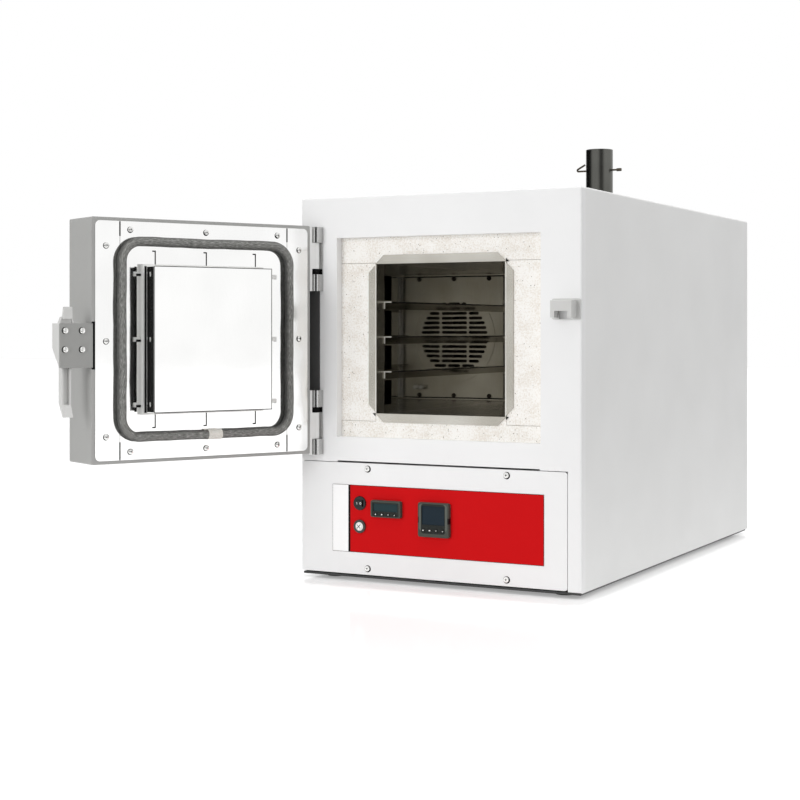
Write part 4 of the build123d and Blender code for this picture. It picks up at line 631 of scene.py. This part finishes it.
# %% Rope path and skin
def rounded_path(left, right, low, high, corner, steps=26):
    """Points along a rounded rectangle: four quarter circles joined by straight runs."""
    centres = [(right - corner, low + corner, -90), (right - corner, high - corner, 0),
               (left + corner, high - corner, 90), (left + corner, low + corner, 180)]
    parts = []
    for number, (x, y, start) in enumerate(centres):
        turn = np.radians(start + np.linspace(0, 90, steps))
        arc = np.stack([x + corner * np.cos(turn), y + corner * np.sin(turn)], axis=1)
        following = centres[(number + 1) % 4]
        begin = np.radians(following[2])
        target = np.array([following[0] + corner * np.cos(begin), following[1] + corner * np.sin(begin)])
        run = arc[-1] + np.linspace(0, 1, 3 * steps)[1:-1, None] * (target - arc[-1])
        parts += [arc, run]
    return np.concatenate(parts)


def wave(count):
    """A sine that swings the given number of times round the whole path."""
    return np.sin(2 * np.pi * count * travel / length)


rope_radius, rope_depth, rope_flatness = 6.35, 6.0, 0.96
line = rounded_path(39, 298, 207, 467, 27)
ahead, behind = np.roll(line, -1, axis=0), np.roll(line, 1, axis=0)
step = np.linalg.norm(ahead - line, axis=1)
travel = np.concatenate([[0], np.cumsum(step)[:-1]])
length = step.sum()
tangent = (ahead - behind) / np.linalg.norm(ahead - behind, axis=1)[:, None]
side = np.stack([tangent[:, 1], -tangent[:, 0]], axis=1)
angle = np.linspace(0, 2 * np.pi, 72, endpoint=False)
wander = 0.25 * wave(7) + 0.18 * wave(17)
strands = np.abs(np.cos(5 * (angle[None, :] + 0.35 * wave(2)[:, None]))) ** 0.6
lump = 1 - 0.012 * (1 + wave(31))[:, None]
radius = rope_radius * (1 - 0.05 * (1 - strands)) * lump
flat = (line + wander[:, None] * side)[:, None, :] + (radius * np.cos(angle))[..., None] * side[:, None, :]
skin = on_door(flat[..., 0], -rope_depth - rope_flatness * radius * np.sin(angle), flat[..., 1])
along = np.stack(np.broadcast_arrays(travel[:, None] * mm, angle[None, :] * rope_radius * mm), axis=-1)
print("rope length:", round(length), "mm")

# %% [markdown]
# The braid is fine wire and glass yarn, grey with use. Its pattern follows the rope's own map: one way runs along
# the rope and the other round it, so the threads bend with it. The sides are darkened as painted shade, so the
# crest reads brighter. The threads are drawn about 0.8 mm wide, coarser than the real ones, so that they show.

# %% Rope finish
made, tree, shader, _ = new_material("braided_wire_rope")
cloth = add(tree, "UVMap", uv_map="along").outputs[0]
strand = add(tree, "Mapping", {"Vector": cloth, "Scale": (0.12, 1.0, 1.0)}).outputs[0]
plait = add(tree, "TexNoise", {"Vector": strand, "Scale": 1 / (0.8 * mm), "Detail": 1.0}).outputs["Fac"]
knots = add(tree, "TexNoise", {"Vector": cloth, "Scale": 1 / (0.7 * mm), "Detail": 2.0}).outputs["Fac"]
both = add(tree, "Mix", {0: 0.4, 2: plait, 3: knots}).outputs[0]
woven = ramp(tree, both, [(0.3, "#3E3E3C"), (0.5, "#767673"), (0.66, "#B4B4B0")])
quarter_turn = rope_radius * mm * math.pi / 2
round_rope = add(tree, "SeparateXYZ", {0: cloth}).outputs["Y"]
# Painted shade: the rope darkens away from its crest towards both sides.
off_crest = math_node(tree, "ABSOLUTE", math_node(tree, "SUBTRACT", round_rope, quarter_turn))
rope_side_shade = add(tree, "MapRange", {0: off_crest, 1: 3.0 * mm, 2: 8.5 * mm, 3: 0.0, 4: 0.8}).outputs[0]
tree.links.new(paint(tree, woven, rope_side_shade, "#262625"), shader.inputs["Base Color"])
bump = add(tree, "Bump", {"Height": both, "Strength": 0.8, "Distance": 0.35 * mm}).outputs[0]
tree.links.new(bump, shader.inputs["Normal"])
shader.inputs["Roughness"].default_value = 0.62
rope = piece("braided_rope", skin, quads(*radius.shape, closed_rows=True), made, "door", uv=along)
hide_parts("door_gasket")
dress(moulded("white_glass_sleeve", "#EFEDE8", "#D9D5CC", 0.8, grain=1.5 * mm), "gasket_sleeve")
print("rope faces:", len(rope.data.polygons))

# %% [markdown]
# ## Screws and hinge bushes
# Twelve pan heads hold the door's plates, and four slotted screws the latch bracket. Each head is a
# profile turned round its axis. Heads that the CAD left plain are replaced.

# %% Screw heads
pan = [(0, 1.95), (1.6, 1.9), (2.7, 1.65), (3.5, 1.15), (3.95, 0.45), (4.0, 0), (0, 0)]
cheese = [(0, 2.0), (3.4, 1.95), (3.8, 1.7), (3.9, 1.3), (3.9, 0), (0, 0)]
column, row = np.meshgrid([54.5, 168.5, 282.5], [188.0, 482.5])
across = np.concatenate([column.ravel(), [18.5] * 3, [317.5] * 3])
rise = np.concatenate([row.ravel(), [211, 337, 463], [208.6, 334.6, 460.6]])
plate_places = on_door(across, 0.0, rise)
bracket_face = 1.2
bracket_places = on_door(np.array([374.8, 351.1] * 2), bracket_face, np.array([324.0, 324.0, 348.6, 348.6]))
fasteners = piece("pan_head_screws", *turned(plate_places, -door_out, pan), plated, "door")
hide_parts("door_screws")
piece("slotted_screws", *turned(bracket_places, -door_out, cheese), plated, "door")
print("screw heads:", len(plate_places) + len(bracket_places))

# %% [markdown]
# A recess is too fine to cut, so it is a black mark of painted shade sunk almost level with its head: a cross in
# each pan head, a line in each slotted one. A thin black disc under each head, a little off its middle, is a
# painted shadow: the dark crescent that a head's own shadow makes.

# %% Recesses and crescents
star = [(-0.4, -1.6), (0.4, -1.6), (0.4, -0.4), (1.6, -0.4), (1.6, 0.4), (0.4, 0.4),
        (0.4, 1.6), (-0.4, 1.6), (-0.4, 0.4), (-1.6, 0.4), (-1.6, -0.4), (-0.4, -0.4)]
mark_height, star_depth, slot_depth = 0.06, 1.93, 1.97
upright = np.array([0, 0, 1])
tops = [(place, star) for place in plate_places - star_depth * mm * door_out]
marks("plate_screw_recesses", tops, door_along, -door_out, mark_height, recess_black, "door")
tops = [(place, oblong(0.3, 3.3)) for place in bracket_places - slot_depth * mm * door_out]
marks("bracket_screw_slots", tops, door_along, -door_out, mark_height, recess_black, "door")
panel_screws = [(x, z) for x in (-107.7, 107.7) for z in (19.0, 160.4)]
tops = [(place, star) for place in spots(*[(x, -396.86, z) for x, z in panel_screws])]
marks("panel_screw_recesses", tops, (1, 0, 0), (0, -1, 0), mark_height, recess_black, "cabinet")


def disc(radius):
    """A thin disc's profile: flat on top, its rim 0.1 mm wider at the foot."""
    return [(0, 0.25), (radius, 0.25), (radius + 0.1, 0), (0, 0)]


shifted = plate_places + 0.6 * mm * door_along - 0.3 * mm * upright
piece("plate_screw_shadows", *turned(shifted, -door_out, disc(4.2)), recess_black, "door")
shifted = bracket_places + 0.6 * mm * door_along
piece("bracket_screw_shadows", *turned(shifted, -door_out, disc(4.3)), recess_black, "door")
shifted = spots(*[(x + 0.5, -395.0, z - 0.4) for x, z in panel_screws])
piece("panel_screw_shadows", *turned(shifted, (0, -1, 0), disc(4.9)), recess_black, "cabinet")
print("recesses:", len(plate_places) + len(bracket_places) + len(panel_screws))

# %% [markdown]
# Black rings on each hinge's pin fill the gap between its knuckles, as painted shade where the gap shows dark.

# %% Hinge gap shadows
gap_shadow_ring = [(2.6, 0.2), (5.6, 0.2), (5.6, 7.8), (2.6, 7.8), (2.6, 0.2)]
gap_shadow_places = spots(*[(-188.5, -403.0, z) for z in (238.7, 437.0)])
piece("hinge_gap_shadows", *turned(gap_shadow_places, (0, 0, 1), gap_shadow_ring), recess_black, "cabinet")
print("gap shadows:", len(gap_shadow_places))

# %% [markdown]
# Thin seams and edges show as dark lines: between the door's frame plates, round the bracket where it enters the
# door, on the rim of the plug and behind its tabs. Each is a flat black strip a hair above the sheet, painted
# shade in the gap.

# %% Seam shadows on the door
def strip(across, rise, out):
    """A rectangle on the open door: its middle and its outline about that middle, in millimetres."""
    outline = oblong((across[1] - across[0]) / 2, (rise[1] - rise[0]) / 2)
    return on_door(sum(across) / 2, out, sum(rise) / 2), outline


on_plates, on_bracket, on_cover, on_base = -0.02, 1.12, -36.02, -15.02
plate_ends = ((177.5, 201.0), (473.5, 493.0))
seam_shadows = [strip((u - 1.0, u + 1.0), rises, on_plates) for u in (39.0, 298.0) for rises in plate_ends]
seam_shadows += [strip((333.4, 336.2), (297.6, 360.4), on_bracket)]
seam_shadows += [strip((333.4, 337.6), rises, on_bracket) for rises in ((358.4, 360.4), (297.6, 299.6))]
seam_shadows += [strip((86.0, 265.6), rises, on_cover) for rises in ((432.9, 433.8), (239.7, 240.8))]
seam_shadows += [strip(across, (240.0, 433.6), on_cover) for across in ((85.6, 86.3), (265.2, 266.0))]
seam_shadows += [strip((266.4, 269.8), (239.5, 434.0), on_base)]
seam_shadows += [strip((56.5, 61.0), (rise - 2.0, rise + 2.0), -0.1) for rise in (422.5, 335.2, 248.2)]
seam_shadows += [strip((267.0, 276.0), (rise - 1.6, rise + 1.6), -3.3) for rise in (422.5, 335.0, 248.1)]
marks("door_seam_shadows", seam_shadows, door_along, -door_out, 0.06, recess_black, "door")
print("seams on the door:", len(seam_shadows))

# %% [markdown]
# Deep in the chamber two dark lines of painted shade mark the baffle's top and bottom edges, and pale weld beads
# close its corners. A bead is a thin upright rod. It is drawn as a pale satin coat, since a mirror in there would
# only be black, so its paleness is a painted highlight. The runners' cut ends and the mouth's edges carry painted
# highlights in the same pale coat, and a dark line of painted shade runs along each runner.

# %% Chamber shade lines, beads and highlights
front_right, front_out = (1, 0, 0), (0, -1, 0)
# One pale satin coat serves the beads, the thermocouple tips and the painted highlights on runner ends and mouth
# edges.
bead_and_highlight_coat = powder_coat("pale_bead_and_highlight_coat", "#E4E2DC", "#C9C6BE", 0.35, peel=2.0 * mm)
lines = [(place, oblong(97, 1)) for place in spots((0, 73.9, 241.5), (0, 73.9, 448.0))]
marks("baffle_seam_shadows", lines, front_right, front_out, 0.3, recess_black, "cabinet")
bead = [(0, 0), (1.3, 0), (1.3, 206.0), (0, 206.0)]
feet = spots(*[(x, y, 242.0) for x in (-98.6, 98.6) for y in (71.4, 62.0)])
piece("corner_beads", *turned(feet, (0, 0, 1), bead, steps=12), bead_and_highlight_coat, "cabinet")
flange = [(-6, -1.4), (6, -1.4), (6, 0), (-6, 0)]
leg = [(-5.6, -10.5), (-4.2, -10.5), (-4.2, -1.4), (-5.6, -1.4)]
tops = (398.0, 348.0, 298.0)
end_highlights = [(place, outline) for place in spots(*[(-94.0, -360.0, top) for top in tops]) for outline in (flange, leg)]
marks("runner_end_highlights", end_highlights, front_right, front_out, 0.15, bead_and_highlight_coat, "cabinet")
edge_shadows = [(place, oblong(217, 0.6)) for place in spots(*[(-87.95, -143.0, top - 0.8) for top in tops])]
marks("runner_edge_shadows", edge_shadows, (0, 1, 0), (1, 0, 0), 0.05, recess_black, "cabinet")
glints = [(place, oblong(0.7, 105)) for place in spots((-101.2, -382.5, 345.0), (101.4, -382.5, 345.0))]
marks("mouth_edge_highlights", glints, front_right, front_out, 0.1, bead_and_highlight_coat, "cabinet")
print("lines and beads:", len(lines) + len(feet) + len(end_highlights) + len(edge_shadows) + len(glints))

# %% [markdown]
# At three corners of the mouth the flange's folds leave a small open triangle, drawn black as painted shade. Two
# thermocouples come through the baffle, and each ends in a rounded tip.

# %% Flange corners and thermocouple tips
notch = np.array([(0, 0), (4.5, 0), (0, 4.5)])
open_corners = ((1, 451.0, 1), (1, 238.9, -1), (-1, 238.9, -1))
gaps = [(spots((side * 101.6, -382.5, z))[0], notch * (side, way)) for side, z, way in open_corners]
marks("flange_mitre_gaps", gaps, front_right, front_out, 0.1, recess_black, "cabinet")
tip = [(3.9, -4.0), (3.9, 0), (3.4, 1.4), (2.2, 2.6), (0, 3.1), (0, -4.0), (3.9, -4.0)]
tips = spots((58.0, 62.0, 259.0), (67.0, 62.0, 259.0))
piece("thermocouple_tips", *turned(tips, (0, -1, 0), tip), bead_and_highlight_coat, "cabinet")
print("open corners:", len(gaps), "tips:", len(tips))
